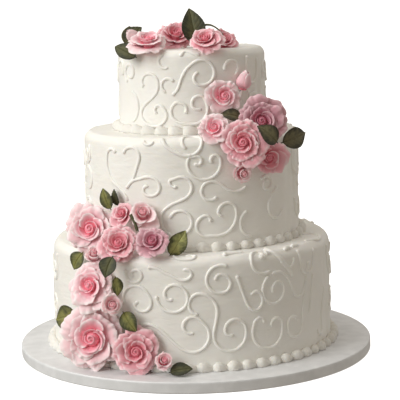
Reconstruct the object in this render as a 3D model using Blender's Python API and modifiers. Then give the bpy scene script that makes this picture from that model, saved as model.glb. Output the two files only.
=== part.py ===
"""Tiered wedding cake on its drum board: three iced tiers, bead borders, sugar roses.

Metres, +Z up. The origin is the centre of the board's underside. Angles round the cake
are in degrees from the front (-Y), growing towards +X.
"""

from math import acos, atan2, cos, pi, radians, sin
from typing import NamedTuple

import bmesh
import bpy
from mathutils import Matrix, Vector

MM = 0.001
CLEARANCE = 0.3 * MM          # gap kept between two pieces that touch
ROUND_STEPS = 72              # steps of every turned shape

# Drum board: 16 in across, half an inch thick.
BOARD_RADIUS = 203.2 * MM
BOARD_THICKNESS = 12.7 * MM
BOARD_EDGE = 1.6 * MM

# Tiers: 12, 9 and 6 in tins with a quarter inch of icing all round.
SHOULDER_POINTS = 3           # points of the rounded top edge


class Tier(NamedTuple):
    """One iced tier: its size, how far its wall leans and flares, and where it stands."""

    name: str
    radius: float
    height: float
    shoulder: float
    foot_flare: float
    offset: float
    base: float


LOWER = Tier("tier_lower", 158.75 * MM, 122.5 * MM, 11 * MM, 2.0 * MM, -3 * MM, BOARD_THICKNESS)
MIDDLE = Tier("tier_middle", 121.8 * MM, 122.0 * MM, 10 * MM, 1.0 * MM, -1 * MM,
              LOWER.base + LOWER.height)
TOP = Tier("tier_top", 83.2 * MM, 91.5 * MM, 9 * MM, 0.6 * MM, 2 * MM,
           MIDDLE.base + MIDDLE.height)

# Bead borders: piped teardrops round the foot of each tier.
BEAD_PITCH = 16.5 * MM
BEAD_DEPTH = 8.4 * MM
BEAD_HEIGHT = 10.2 * MM
BEAD_TAIL = 0.62              # size of a bead's tail, as a share of its head
BEAD_LEAN = 0.15              # how far the head sits before the bead's middle, of the pitch
BEAD_SIDES = 5


class Bloom(NamedTuple):
    """A sugar flower: where its heart is, which way it faces, and its size.

    angle, out and up place the heart from the tier's axis, wall and foot; yaw and pitch
    turn its face. Degrees and millimetres.
    """

    name: str
    tier: Tier
    angle: float
    out: float
    up: float
    yaw: float
    pitch: float
    radius: float
    depth: float


class Leaf(NamedTuple):
    """A sugar leaf: its middle, the way its face looks, and the clock turn of its tip."""

    name: str
    tier: Tier
    angle: float
    out: float
    up: float
    yaw: float
    pitch: float
    clock: float
    length: float
    width: float


OPEN_ROSES = (
    Bloom("shoulder_rose_1", MIDDLE, 36, 10, 138, 4, 12, 23, 21),
    Bloom("shoulder_rose_2", MIDDLE, 22.8, 22, 118, -4, 8, 22, 20),
    Bloom("cascade_rose_1", MIDDLE, -45.2, 36, 26, -12, 16, 26, 23),
    Bloom("cascade_rose_2", LOWER, -28, 5, 140, -5, 35, 20, 18),
    Bloom("cascade_rose_3", LOWER, -37.4, 24, 94, -22, 22, 23, 20),
    Bloom("cascade_rose_4", LOWER, -35, 32, 36.5, -12, 10, 32, 27),
    Bloom("cascade_rose_5", LOWER, -19.3, 24, 25.5, -6, 12, 22.5, 20),
)
SMALL_ROSES = (
    Bloom("crown_rose_1", TOP, -32.4, 3, 105.5, 0, 38, 18, 16),
    Bloom("crown_rose_2", TOP, -21, -43, 109.5, 12, 32, 17, 16),
    Bloom("crown_rose_3", TOP, 9.8, 2, 104.5, -10, 24, 16, 15),
    Bloom("crown_rose_4", TOP, 43, -24, 106.5, 30, 46, 15, 14),
    Bloom("shoulder_rose_3", TOP, 20.5, 18, 42.6, 8, 10, 18, 16),
    Bloom("shoulder_rose_4", TOP, 10.7, 39, 12.5, -2, 26, 16, 14),
    Bloom("shoulder_rose_5", MIDDLE, 38, 17, 97.3, 8, 0, 16, 14),
    Bloom("cascade_rose_6", LOWER, -14.6, 2, 142, -5, 30, 17, 16),
    Bloom("cascade_rose_7", MIDDLE, -33, 20, 44, -30, 28, 13, 15),
)
OPENING_BUDS = (
    Bloom("shoulder_bud_1", MIDDLE, 24, 16, 80.5, 20, -25, 8.5, 16),
    Bloom("cascade_bud_1", MIDDLE, -21.7, 19, 47.5, 5, 32, 10, 18),
    Bloom("cascade_bud_2", LOWER, -28, 20, 74, 10, 15, 9, 15),
    Bloom("cascade_bud_3", LOWER, -9.5, 22, 19.5, 12, 42, 7.5, 16),
)
CLOSED_BUDS = (
    Bloom("crown_bud", TOP, -54, 4, 112, -70, 36, 8, 19),
    Bloom("shoulder_bud_2", TOP, 38.5, 13, 67.5, 45, 72, 9, 22),
    Bloom("cascade_bud_4", LOWER, -36.5, 13, 130, 15, 55, 8, 17),
)
LEAVES = (
    Leaf("crown_leaf_1", TOP, -50, 10.5, 90, -30, 25, -68, 31, 17),
    Leaf("crown_leaf_2", TOP, 2.5, -33, 116.5, 5, 10, -10, 38, 26),
    Leaf("crown_leaf_3", TOP, -62, -12, 106.5, -20, 15, -5, 24, 22),
    Leaf("shoulder_leaf_1", TOP, 24, 18, 20, 20, 30, -75, 22, 15),
    Leaf("shoulder_leaf_2", MIDDLE, 35, 27, 126, 30, 15, 40, 25, 19),
    Leaf("shoulder_leaf_3", MIDDLE, 57, 16, 115.5, 40, 10, 66, 33, 21),
    Leaf("cascade_leaf_1", MIDDLE, -42.5, 14, 56, -20, 10, -25, 23, 14),
    Leaf("cascade_leaf_2", MIDDLE, -40, 5, 57, -40, 5, -20, 17, 10),
    Leaf("cascade_leaf_3", MIDDLE, -6.3, 17, 12.5, 10, 15, 36, 30, 20),
    Leaf("cascade_leaf_4", LOWER, -46.4, 9, 113, -40, 10, -150, 21, 19),
    Leaf("cascade_leaf_5", LOWER, -28.8, 20, 113.5, -25, 20, -166, 22, 20),
    Leaf("cascade_leaf_6", LOWER, -28.3, 10, 91, 35, 0, 175, 20, 13),
    Leaf("cascade_leaf_7", LOWER, -54, 15, 48.8, -45, 15, -105, 25, 21),
    Leaf("cascade_leaf_8", LOWER, -23, 9, 53.5, -15, 10, 143, 24, 19),
    Leaf("cascade_leaf_9", LOWER, -4, 16, 4.5, -4, 50, 80, 23, 16),
)

# A flower's section, from its heart out to its rim and back under to its foot:
# (share of the radius, share of the depth, how strongly the petals lobe that ring).
ROSE_SECTION = (
    (0.0, 0.90, 0.0),
    (0.24, 0.98, 0.0),
    (0.40, 0.74, 0.05),
    (0.63, 0.82, 0.07),
    (0.74, 0.54, 0.05),
    (1.00, 0.58, 0.08),
    (0.36, 0.0, 0.0),
    (0.0, 0.0, 0.0),
)
OPENING_BUD_SECTION = (
    (0.0, 0.92, 0.0),
    (0.30, 1.0, 0.0),
    (0.62, 0.84, 0.10),
    (1.00, 0.88, 0.10),
    (0.92, 0.45, 0.04),
    (0.42, 0.0, 0.0),
    (0.0, 0.0, 0.0),
)
CLOSED_BUD_SECTION = (
    (0.0, 1.0, 0.0),
    (0.42, 0.84, 0.06),
    (0.88, 0.56, 0.06),
    (0.96, 0.30, 0.0),
    (0.46, 0.0, 0.0),
    (0.0, 0.0, 0.0),
)
PETALS = 5
RIM_WAVE = 0.06               # how far a petal's middle stands above its ends, of the depth

LEAF_THICKNESS = 1.2 * MM
LEAF_ARCH = 0.10              # rise of the leaf's middle, of its length
LEAF_FOLD = 0.12              # rise of its edges above the midrib, of its width
LEAF_ROWS = 5

COLOURS = {
    "icing": ((0.88, 0.86, 0.82), 0.45, 0.0),
    "petal": ((0.86, 0.42, 0.47), 0.55, 0.0),
    "leaf": ((0.20, 0.24, 0.10), 0.5, 0.0),
    "foil": ((0.74, 0.75, 0.77), 0.35, 0.6),
}


def clear_scene():
    """Remove whatever the file held."""
    for old in list(bpy.data.objects):
        bpy.data.objects.remove(old, do_unlink=True)


def make_material(name, key):
    """Return a Principled material of the named finish."""
    colour, roughness, metallic = COLOURS[key]
    material = bpy.data.materials.new(name)
    material.use_nodes = True
    shader = material.node_tree.nodes["Principled BSDF"]
    shader.inputs["Base Color"].default_value = (*colour, 1.0)
    shader.inputs["Roughness"].default_value = roughness
    shader.inputs["Metallic"].default_value = metallic
    return material


def add_object(name, mesh, finish):
    """Put a mesh in the cake's collection as a smooth-shaded object of its own."""
    mesh.materials.clear()
    mesh.materials.append(make_material(name + "_finish", finish))
    piece = bpy.data.objects.new(name, mesh)
    CAKE.objects.link(piece)
    mesh.shade_smooth()
    mesh.set_sharp_from_angle(angle=radians(40))
    return piece


def turned(name, profile, finish, location):
    """Turn a profile of (radius, height) points, given top to bottom, about the Z axis."""
    mesh = bpy.data.meshes.new(name)
    edges = [(i, i + 1) for i in range(len(profile) - 1)]
    mesh.from_pydata([(radius, 0.0, height) for radius, height in profile], edges, [])
    piece = add_object(name, mesh, finish)
    piece.location = location
    screw = piece.modifiers.new("turn", "SCREW")
    screw.steps = ROUND_STEPS
    screw.render_steps = ROUND_STEPS
    screw.use_merge_vertices = True
    screw.merge_threshold = 0.0001
    screw.use_smooth_shade = True
    return piece


def corner(radius, height, size, start, points):
    """Return a quarter round of a profile, from start degrees down to start - 90."""
    centre = (radius - size, height - size if start > 0 else height + size)
    angles = [radians(start - 90 * i / points) for i in range(points + 1)]
    return [(centre[0] + size * cos(a), centre[1] + size * sin(a)) for a in angles]


def make_board():
    """The drum board: a thick disc with its top and bottom edges eased."""
    rim = corner(BOARD_RADIUS, BOARD_THICKNESS, BOARD_EDGE, 90, 2)
    rim += corner(BOARD_RADIUS, 0.0, BOARD_EDGE, 0, 1)
    return turned("board", [(0.0, BOARD_THICKNESS), *rim, (0.0, 0.0)], "foil", (0.0, 0.0, 0.0))


def make_tier(tier):
    """One tier: a flat top, a rounded shoulder and a wall that flares at its foot."""
    profile = [(0.0, tier.height), *corner(tier.radius, tier.height, tier.shoulder, 90,
                                           SHOULDER_POINTS)]
    profile.append((tier.radius + 0.3 * tier.foot_flare, 0.3 * tier.height))
    profile.append((tier.radius + tier.foot_flare, CLEARANCE))
    profile.append((0.0, CLEARANCE))
    return turned(tier.name, profile, "icing", (tier.offset, 0.0, tier.base))


def make_border(tier):
    """The bead border: a ring of teardrops that sits in the corner of wall and ledge."""
    inner = tier.radius + tier.foot_flare + CLEARANCE
    beads = round(2 * pi * (inner + BEAD_DEPTH / 2) / BEAD_PITCH)
    bpy.ops.mesh.primitive_torus_add(
        major_segments=2 * beads, minor_segments=BEAD_SIDES,
        major_radius=inner + BEAD_DEPTH, minor_radius=BEAD_DEPTH / 2)
    ring = bpy.context.active_object
    mesh = ring.data
    flat_side = cos(pi / BEAD_SIDES)
    lowest = sin(2 * pi / BEAD_SIDES)
    for vertex in mesh.vertices:
        angle = atan2(vertex.co.y, vertex.co.x)
        across = (vertex.co.xy.length - inner - BEAD_DEPTH) / (BEAD_DEPTH / 2)
        upward = vertex.co.z / (BEAD_DEPTH / 2)
        swell = BEAD_TAIL
        if round(angle / pi * beads) % 2:
            swell = 1.0
            angle -= BEAD_LEAN * 2 * pi / beads
        radius = inner + BEAD_DEPTH * swell * (across + flat_side) / (1 + flat_side)
        height = BEAD_HEIGHT * swell * (upward + lowest) / (2 * lowest)
        vertex.co = (radius * cos(angle), radius * sin(angle), height + CLEARANCE)
    bpy.data.objects.remove(ring)
    piece = add_object(tier.name.replace("tier", "border"), mesh, "icing")
    piece.location = (tier.offset, 0.0, tier.base)
    return piece


def facing(yaw, pitch):
    """Unit vector that looks out at these angles from the front."""
    level = cos(radians(pitch))
    return Vector((sin(radians(yaw)) * level, -cos(radians(yaw)) * level, sin(radians(pitch))))


def place_on(tier, angle, out, up):
    """Point at an angle round a tier, this far out from its wall and up from its foot."""
    radius = tier.radius + out * MM
    across = tier.offset + radius * sin(radians(angle))
    return Vector((across, -radius * cos(radians(angle)), tier.base + up * MM))


def make_bloom(bloom, section, sides):
    """A flower: a ball whose rings are drawn to the section and lobed into petals."""
    last = len(section) - 1
    body = bmesh.new()
    bmesh.ops.create_uvsphere(body, u_segments=sides, v_segments=last, radius=1.0)
    for vertex in body.verts:
        ring = round(acos(max(-1.0, min(1.0, vertex.co.z))) / pi * last)
        share, height, lobe = section[ring]
        angle = atan2(vertex.co.y, vertex.co.x)
        petal = cos(PETALS * angle + ring * pi)
        radius = share * bloom.radius * MM * (1 + lobe * petal)
        lift = RIM_WAVE * petal if lobe else 0.0
        vertex.co = (radius * cos(angle), radius * sin(angle), bloom.depth * MM * (height + lift))
    mesh = bpy.data.meshes.new(bloom.name)
    body.to_mesh(mesh)
    body.free()
    piece = add_object(bloom.name, mesh, "petal")
    axis = facing(bloom.yaw, bloom.pitch)
    piece.rotation_euler = axis.to_track_quat("Z", "Y").to_euler()
    piece.location = place_on(bloom.tier, bloom.angle, bloom.out, bloom.up) - axis * bloom.depth * MM
    return piece


def leaf_half_width(share):
    """Half width of a leaf at a share of its length, as a share of its full half width."""
    return 0.04 + 0.96 * sin(pi * share ** 0.8) ** 0.8 if 0 < share < 1 else 0.04


def make_leaf(leaf):
    """A leaf: a grid drawn to the outline, arched and folded, then given its thickness."""
    body = bmesh.new()
    bmesh.ops.create_grid(body, x_segments=2, y_segments=LEAF_ROWS - 1, size=1.0)
    for vertex in body.verts:
        share = (vertex.co.y + 1) / 2
        side = vertex.co.x
        half = leaf.width * MM / 2 * leaf_half_width(share)
        arch = LEAF_ARCH * leaf.length * MM * (1 - (2 * share - 1) ** 2)
        fold = LEAF_FOLD * 2 * half * abs(side)
        vertex.co = (side * half, (share - 0.5) * leaf.length * MM, arch + fold)
    mesh = bpy.data.meshes.new(leaf.name)
    body.to_mesh(mesh)
    body.free()
    piece = add_object(leaf.name, mesh, "leaf")
    thickness = piece.modifiers.new("thickness", "SOLIDIFY")
    thickness.thickness = LEAF_THICKNESS
    thickness.offset = 0.0
    normal = facing(leaf.yaw, leaf.pitch)
    upward = (Vector((0, 0, 1)) - normal * normal.z).normalized()
    right = upward.cross(normal)
    tip = upward * cos(radians(leaf.clock)) + right * sin(radians(leaf.clock))
    turn = Matrix((tip.cross(normal), tip, normal)).transposed()
    piece.rotation_euler = turn.to_euler()
    piece.location = place_on(leaf.tier, leaf.angle, leaf.out, leaf.up)
    return piece


clear_scene()
CAKE = bpy.data.collections.new("wedding_cake")
bpy.context.scene.collection.children.link(CAKE)

make_board()
for level in (LOWER, MIDDLE, TOP):
    make_tier(level)
    make_border(level)
for flower in OPEN_ROSES:
    make_bloom(flower, ROSE_SECTION, 3 * PETALS)
for flower in SMALL_ROSES:
    make_bloom(flower, ROSE_SECTION, 2 * PETALS)
for flower in OPENING_BUDS:
    make_bloom(flower, OPENING_BUD_SECTION, 8)
for flower in CLOSED_BUDS:
    make_bloom(flower, CLOSED_BUD_SECTION, 8)
for blade in LEAVES:
    make_leaf(blade)
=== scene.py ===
"""A three-tiered wedding cake with piped scrolls, bead borders and sugar roses.

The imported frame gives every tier, border, flower, leaf and the board as a plain solid. This
script puts the finished piece of each in its place: icing that a spatula has passed over,
scrolls piped along the walls, beads, petals rolled thin and ruffled, veined leaves and the
foil of the board. Lengths are metres; the scroll tables are millimetres on the wall.
"""

import logging
import math
import random
from collections.abc import Callable, Iterable, Mapping, Sequence
from dataclasses import dataclass, replace
from enum import Enum

import bmesh
import bpy
import numpy as np
from mathutils import Matrix, Vector, noise


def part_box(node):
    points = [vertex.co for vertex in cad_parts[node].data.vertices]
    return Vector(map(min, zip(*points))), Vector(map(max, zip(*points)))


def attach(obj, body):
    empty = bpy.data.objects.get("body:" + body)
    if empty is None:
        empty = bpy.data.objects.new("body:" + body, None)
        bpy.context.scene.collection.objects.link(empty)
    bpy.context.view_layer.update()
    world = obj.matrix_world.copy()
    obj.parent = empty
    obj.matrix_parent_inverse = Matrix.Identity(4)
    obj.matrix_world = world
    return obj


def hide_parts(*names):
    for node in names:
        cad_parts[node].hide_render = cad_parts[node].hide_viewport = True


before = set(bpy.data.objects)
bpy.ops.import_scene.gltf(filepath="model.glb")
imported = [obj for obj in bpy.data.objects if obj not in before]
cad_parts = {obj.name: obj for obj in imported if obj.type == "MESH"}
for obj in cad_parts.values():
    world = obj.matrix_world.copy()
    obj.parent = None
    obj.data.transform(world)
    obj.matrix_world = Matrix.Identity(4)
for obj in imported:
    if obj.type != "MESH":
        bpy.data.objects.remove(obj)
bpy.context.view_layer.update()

LOG = logging.getLogger("wedding_cake")
MM = 0.001
BODY = "root"


# ---------------------------------------------------------------- shader graph


class Signal:
    """One output of a shader node, usable in sums and products."""

    def __init__(self, recipe: "Recipe", socket: bpy.types.NodeSocket) -> None:
        """Keep the socket and the recipe that it belongs to."""
        self.recipe = recipe
        self.socket = socket

    def _math(self, operation: str, first: object, second: object) -> "Signal":
        """Return the Math node that combines two values."""
        return self.recipe.node("ShaderNodeMath", {"operation": operation}, {0: first, 1: second})

    def __add__(self, other: object) -> "Signal":
        """Sum."""
        return self._math("ADD", self, other)

    def __radd__(self, other: object) -> "Signal":
        """Sum, reflected."""
        return self._math("ADD", other, self)

    def __sub__(self, other: object) -> "Signal":
        """Difference."""
        return self._math("SUBTRACT", self, other)

    def __rsub__(self, other: object) -> "Signal":
        """Difference, reflected."""
        return self._math("SUBTRACT", other, self)

    def __mul__(self, other: object) -> "Signal":
        """Product."""
        return self._math("MULTIPLY", self, other)

    def __rmul__(self, other: object) -> "Signal":
        """Product, reflected."""
        return self._math("MULTIPLY", other, self)

    def __pow__(self, other: object) -> "Signal":
        """Power."""
        return self._math("POWER", self, other)


class Recipe:
    """The node tree of one finish, started from a Principled shader."""

    def __init__(self, name: str) -> None:
        """Make the material and find its shader."""
        self.material = bpy.data.materials.new(name)
        self.material.use_nodes = True
        self.tree = self.material.node_tree
        self.shader = self.tree.nodes["Principled BSDF"]

    def node(
        self,
        kind: str,
        settings: Mapping[str, object] | None = None,
        sockets: Mapping[str | int, object] | None = None,
        output: str | int = 0,
    ) -> Signal:
        """Add a node of any type.

        Args:
            kind: The node's type.
            settings: Its properties; "stops" sets a ramp's (position, colour) pairs.
            sockets: Values or signals for its inputs, by name or index.
            output: The output that is wanted.

        Returns:
            That output as a signal.
        """
        made = self.tree.nodes.new(kind)
        for key, value in (settings or {}).items():
            if key == "stops":
                self._set_stops(made.color_ramp, value)
            else:
                setattr(made, key, value)
        for key, value in (sockets or {}).items():
            self.feed(made.inputs[key], value)
        return Signal(self, made.outputs[output])

    @staticmethod
    def _set_stops(ramp: bpy.types.ColorRamp, stops: Sequence[tuple]) -> None:
        """Give a colour ramp its stops."""
        while len(ramp.elements) < len(stops):
            ramp.elements.new(1.0)
        for element, (position, colour) in zip(ramp.elements, stops):
            element.position = position
            element.color = (*colour, 1.0)

    def feed(self, socket: bpy.types.NodeSocket, value: object) -> None:
        """Link a signal to an input, or set the input's own value."""
        if isinstance(value, Signal):
            self.tree.links.new(value.socket, socket)
        elif isinstance(value, tuple) and len(value) == 3 and socket.type == "RGBA":
            socket.default_value = (*value, 1.0)
        else:
            socket.default_value = value

    def shade(self, **inputs: object) -> None:
        """Set inputs of the Principled shader; an underscore stands for a space."""
        for key, value in inputs.items():
            self.feed(self.shader.inputs[key.replace("_", " ")], value)

    def place(self) -> Signal:
        """Return the position on the piece, in metres."""
        return self.node("ShaderNodeTexCoord", output="Object")

    def noise(self, where: Signal, scale: float, detail: float = 3.0, rough: float = 0.5) -> Signal:
        """Return a noise value that averages one half."""
        sockets = {"Vector": where, "Scale": scale, "Detail": detail, "Roughness": rough}
        return self.node("ShaderNodeTexNoise", {}, sockets)

    def blend(self, share: object, first: object, second: object) -> Signal:
        """Mix two colours by a share."""
        return self.node(
            "ShaderNodeMix", {"data_type": "RGBA"}, {0: share, 6: first, 7: second}, output=2
        )

    def fade(self, value: Signal, low: float, high: float) -> Signal:
        """Return a value stretched so that low gives 0 and high gives 1, eased at both."""
        settings = {"interpolation_type": "SMOOTHSTEP"}
        return self.node("ShaderNodeMapRange", settings, {0: value, 1: low, 2: high})

    def relief(self, height: Signal, depth: float, strength: float = 1.0) -> Signal:
        """Return the normal of a surface raised by a height, at this depth in metres."""
        sockets = {"Height": height, "Distance": depth, "Strength": strength}
        return self.node("ShaderNodeBump", {}, sockets, output="Normal")


# -------------------------------------------------------------------- finishes


@dataclass(frozen=True)
class IcingFinish:
    """Smooth whipped icing: warm white, soft, with faint spatula marks."""

    name: str
    light: tuple[float, float, float]
    dark: tuple[float, float, float]
    roughness: float
    drag: float
    depth: float = 1.6 * MM

    def build(self) -> bpy.types.Material:
        """Return the icing material."""
        recipe = Recipe(self.name)
        where = recipe.place()
        tone = recipe.noise(where, 24.0)
        dragged = recipe.node(
            "ShaderNodeMapping", {}, {"Vector": where, "Scale": (1.0, 1.0, self.drag)}
        )
        lumps = recipe.noise(dragged, 70.0, 3.0)
        grain = recipe.noise(where, 900.0, 2.0, 0.6)
        recipe.shade(
            Base_Color=recipe.blend(recipe.fade(tone, 0.3, 0.7), self.dark, self.light),
            Roughness=self.roughness + 0.16 * lumps + 0.06 * grain,
            Normal=recipe.relief(lumps + 0.05 * grain, 0.7 * MM),
            Subsurface_Weight=0.12,
            Subsurface_Radius=(1.0, 0.8, 0.55),
            Subsurface_Scale=self.depth,
            Specular_IOR_Level=0.35,
        )
        return recipe.material


@dataclass(frozen=True)
class PetalFinish:
    """Sugar paste dusted with colour: deep in the heart, pale along the rims, where the pale also paints in the
    highlight the rims catch.
    """

    name: str
    heart: tuple[float, float, float]
    middle: tuple[float, float, float]
    outer: tuple[float, float, float]
    rim: tuple[float, float, float]

    def build(self) -> bpy.types.Material:
        """Return the petal material, which reads each petal's age and its own map."""
        recipe = Recipe(self.name)
        age = recipe.node("ShaderNodeAttribute", {"attribute_name": "age"}, output="Fac")
        chart = recipe.node("ShaderNodeUVMap", {"uv_map": "UVMap"})
        split = recipe.node("ShaderNodeSeparateXYZ", {}, {0: chart}, output="Y")
        fibres = recipe.node(
            "ShaderNodeMapping", {}, {"Vector": chart, "Scale": (34.0, 2.2, 1.0)}
        )
        streaks = recipe.noise(fibres, 1.0, 3.0)
        dust = recipe.noise(recipe.place(), 140.0, 3.0)
        tint = 0.78 * age + 0.42 * (split - 0.5) + 0.20 * (dust - 0.5) + 0.10 * (streaks - 0.5)
        stops = [(0.0, self.heart), (0.42, self.middle), (0.88, self.outer)]
        body = recipe.node("ShaderNodeValToRGB", {"stops": stops}, {0: tint})
        # Pale rims: partly the paste's own pale edge, partly a painted highlight.
        edge = recipe.fade(split + 0.10 * (dust - 0.5), 0.84, 0.98)
        patchy = recipe.fade(recipe.noise(recipe.place(), 90.0), 0.35, 0.65)
        share = edge * (0.10 + 0.85 * recipe.fade(age, 0.15, 0.60)) * (0.45 + 0.55 * patchy)
        recipe.shade(
            Base_Color=recipe.blend(share, body, self.rim),
            Roughness=0.50 + 0.14 * dust,
            Normal=recipe.relief(streaks + 0.3 * dust, 0.25 * MM, 0.7),
            Subsurface_Weight=0.25,
            Subsurface_Radius=(1.0, 0.75, 0.75),
            Subsurface_Scale=1.2 * MM,
            Specular_IOR_Level=0.3,
        )
        return recipe.material


@dataclass(frozen=True)
class LeafFinish:
    """Green sugar paste: veined, mottled and darker along the edge."""

    name: str
    light: tuple[float, float, float]
    dark: tuple[float, float, float]
    vein: tuple[float, float, float]

    def build(self) -> bpy.types.Material:
        """Return the leaf material, which reads the leaf's own map."""
        recipe = Recipe(self.name)
        chart = recipe.node("ShaderNodeUVMap", {"uv_map": "UVMap"})
        across = recipe.node("ShaderNodeSeparateXYZ", {}, {0: chart}, output="X")
        along = recipe.node("ShaderNodeSeparateXYZ", {}, {0: chart}, output="Y")
        side = recipe.node("ShaderNodeMath", {"operation": "ABSOLUTE"}, {0: 2.0 * across - 1.0})
        ribs = 7.0 * (along - 0.30 * side)
        wave = recipe.node("ShaderNodeMath", {"operation": "PINGPONG"}, {0: ribs, 1: 0.5})
        rib = 1.0 - recipe.fade(wave, 0.02, 0.12)
        midrib = 1.0 - recipe.fade(side, 0.02, 0.09)
        veins = recipe.node("ShaderNodeMath", {"operation": "MAXIMUM"}, {0: midrib, 1: 0.45 * rib})
        mottle = recipe.noise(recipe.place(), 170.0, 3.0)
        centre = recipe.fade(mottle - 0.55 * side + 0.25, 0.2, 0.75)
        body = recipe.blend(centre, self.dark, self.light)
        veined = recipe.blend(0.55 * veins, body, self.vein)
        edge = recipe.fade(side, 0.84, 0.97)
        recipe.shade(
            Base_Color=recipe.blend(0.7 * edge, veined, self.dark),
            Roughness=0.50 + 0.18 * mottle,
            Normal=recipe.relief(mottle * 0.6 - veins, 0.4 * MM, 0.8),
            Specular_IOR_Level=0.35,
        )
        return recipe.material


@dataclass(frozen=True)
class FoilFinish:
    """Embossed silver foil of a cake drum."""

    name: str
    colour: tuple[float, float, float]
    metallic: float
    roughness: float
    emboss: float

    def build(self) -> bpy.types.Material:
        """Return the foil material."""
        recipe = Recipe(self.name)
        where = recipe.place()
        cells = recipe.node("ShaderNodeTexVoronoi", {"feature": "SMOOTH_F1"}, {"Vector": where, "Scale": 260.0})
        crumple = recipe.noise(where, 60.0, 4.0)
        fine = recipe.noise(where, 1400.0, 2.0)
        tint = recipe.fade(crumple, 0.3, 0.7)
        darker = tuple(0.9 * part for part in self.colour)
        recipe.shade(
            Base_Color=recipe.blend(tint, darker, self.colour),
            Metallic=self.metallic,
            Roughness=self.roughness + 0.10 * crumple + 0.06 * fine,
            Normal=recipe.relief(cells + 0.4 * crumple, self.emboss),
        )
        return recipe.material


@dataclass(frozen=True)
class FloorFinish:
    """Seamless white paper under the cake."""

    name: str
    colour: tuple[float, float, float]
    glow: float

    def build(self) -> bpy.types.Material:
        """Return the floor material."""
        recipe = Recipe(self.name)
        speckle = recipe.noise(recipe.place(), 8.0)
        dimmer = tuple(0.985 * part for part in self.colour)
        recipe.shade(
            Base_Color=recipe.blend(speckle, dimmer, self.colour),
            Roughness=0.9,
            Specular_IOR_Level=0.1,
            Emission_Color=(1.0, 1.0, 1.0, 1.0),
            Emission_Strength=self.glow,
        )
        return recipe.material


class Shade(Enum):
    """How deeply a rose is coloured; one member is a darker copy that paints in shade."""

    PALE = PetalFinish(
        "petal_pale", (0.96, 0.43, 0.50), (0.96, 0.57, 0.61), (0.95, 0.69, 0.71), (0.98, 0.86, 0.86)
    )
    BLUSH = PetalFinish(
        "petal_blush", (0.98, 0.28, 0.36), (0.97, 0.47, 0.55), (0.96, 0.68, 0.71), (0.98, 0.86, 0.86)
    )
    ROSE = PetalFinish(
        "petal_rose", (0.76, 0.22, 0.29), (0.84, 0.32, 0.38), (0.84, 0.42, 0.47), (0.94, 0.72, 0.74)
    )
    # A darker copy of the rose colours, for roses that sit in shade: painted shade.
    SHADED_ROSE = PetalFinish(
        "petal_shaded_rose", (0.69, 0.18, 0.26), (0.56, 0.23, 0.30), (0.63, 0.35, 0.40), (0.76, 0.52, 0.56)
    )


class Green(Enum):
    """How light a leaf is; two of the greens are lightened to paint in light on leaves that sit in shade."""

    # A lighter copy of the greens, for leaves that sit in shade: painted light.
    LIT = LeafFinish("leaf_lit", (0.42, 0.42, 0.15), (0.075, 0.080, 0.032), (0.48, 0.48, 0.22))
    FRESH = LeafFinish("leaf_fresh", (0.245, 0.238, 0.070), (0.058, 0.062, 0.025), (0.31, 0.31, 0.13))
    # A browner green, also lightened for shoulder leaves that sit in low light: own tone and painted light.
    MOSS_LIT = LeafFinish("leaf_moss_lit", (0.175, 0.158, 0.085), (0.052, 0.048, 0.030), (0.22, 0.20, 0.12))
    DEEP = LeafFinish("leaf_deep", (0.108, 0.107, 0.047), (0.036, 0.039, 0.022), (0.14, 0.145, 0.075))


ICING = IcingFinish("icing_wall", (0.905, 0.885, 0.845), (0.885, 0.862, 0.815), 0.36, 3.0)
PIPING = IcingFinish("icing_piping", (0.915, 0.895, 0.855), (0.90, 0.878, 0.832), 0.34, 1.0)
# The wall icing made darker so the beads read less bright: painted shade.
SHADED_BEADS = IcingFinish(
    "icing_beads", (0.80, 0.78, 0.735), (0.775, 0.752, 0.705), 0.52, 1.0, 3.2 * MM
)
FOIL = FoilFinish("drum_foil", (0.82, 0.82, 0.83), 0.20, 0.50, 0.22 * MM)
BAND = FoilFinish("drum_band", (0.82, 0.82, 0.83), 0.22, 0.42, 0.05 * MM)
PAPER = FloorFinish("paper", (0.94, 0.94, 0.94), 0.9)


class Wardrobe:
    """The materials that have been made so far, one for each finish."""

    made: dict[str, bpy.types.Material] = {}

    @classmethod
    def dress(cls, piece: bpy.types.Object, finish: object) -> None:
        """Give a piece the material of a finish."""
        if finish.name not in cls.made:
            cls.made[finish.name] = finish.build()
        piece.data.materials.clear()
        piece.data.materials.append(cls.made[finish.name])


# ------------------------------------------------------------ modelling helpers


def start_with(operator: Callable, **settings: object) -> bpy.types.Object:
    """Deselect everything, then add a primitive.

    Args:
        operator: One of Blender's add operators.
        settings: What it is given.

    Returns:
        The new object, selected and active.
    """
    bpy.ops.object.select_all(action="DESELECT")
    operator(**settings)
    return bpy.context.active_object


def pick(piece: bpy.types.Object) -> None:
    """Make a piece the only selected object, and the active one."""
    bpy.ops.object.select_all(action="DESELECT")
    piece.select_set(True)
    bpy.context.view_layer.objects.active = piece


def settle(piece: bpy.types.Object) -> None:
    """Apply a piece's transform and modifiers, so that its place is in its mesh."""
    pick(piece)
    bpy.ops.object.transform_apply(location=True, rotation=True, scale=True)
    for modifier in list(piece.modifiers):
        bpy.ops.object.modifier_apply(modifier=modifier.name)


def join(pieces: Sequence[bpy.types.Object], name: str) -> bpy.types.Object:
    """Join objects into the first of them and name it."""
    pick(pieces[0])
    for piece in pieces:
        piece.select_set(True)
    if len(pieces) > 1:
        bpy.ops.object.join()
    joined = bpy.context.active_object
    joined.name = name
    joined.data.name = name
    return joined


def copy_of(piece: bpy.types.Object) -> bpy.types.Object:
    """Return a copy of an object with a mesh of its own."""
    twin = piece.copy()
    twin.data = piece.data.copy()
    bpy.context.scene.collection.objects.link(twin)
    return twin


def points_of(mesh: bpy.types.Mesh) -> np.ndarray:
    """Return a mesh's points, one row each."""
    flat = np.empty(3 * len(mesh.vertices))
    mesh.vertices.foreach_get("co", flat)
    return flat.reshape(-1, 3)


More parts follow.
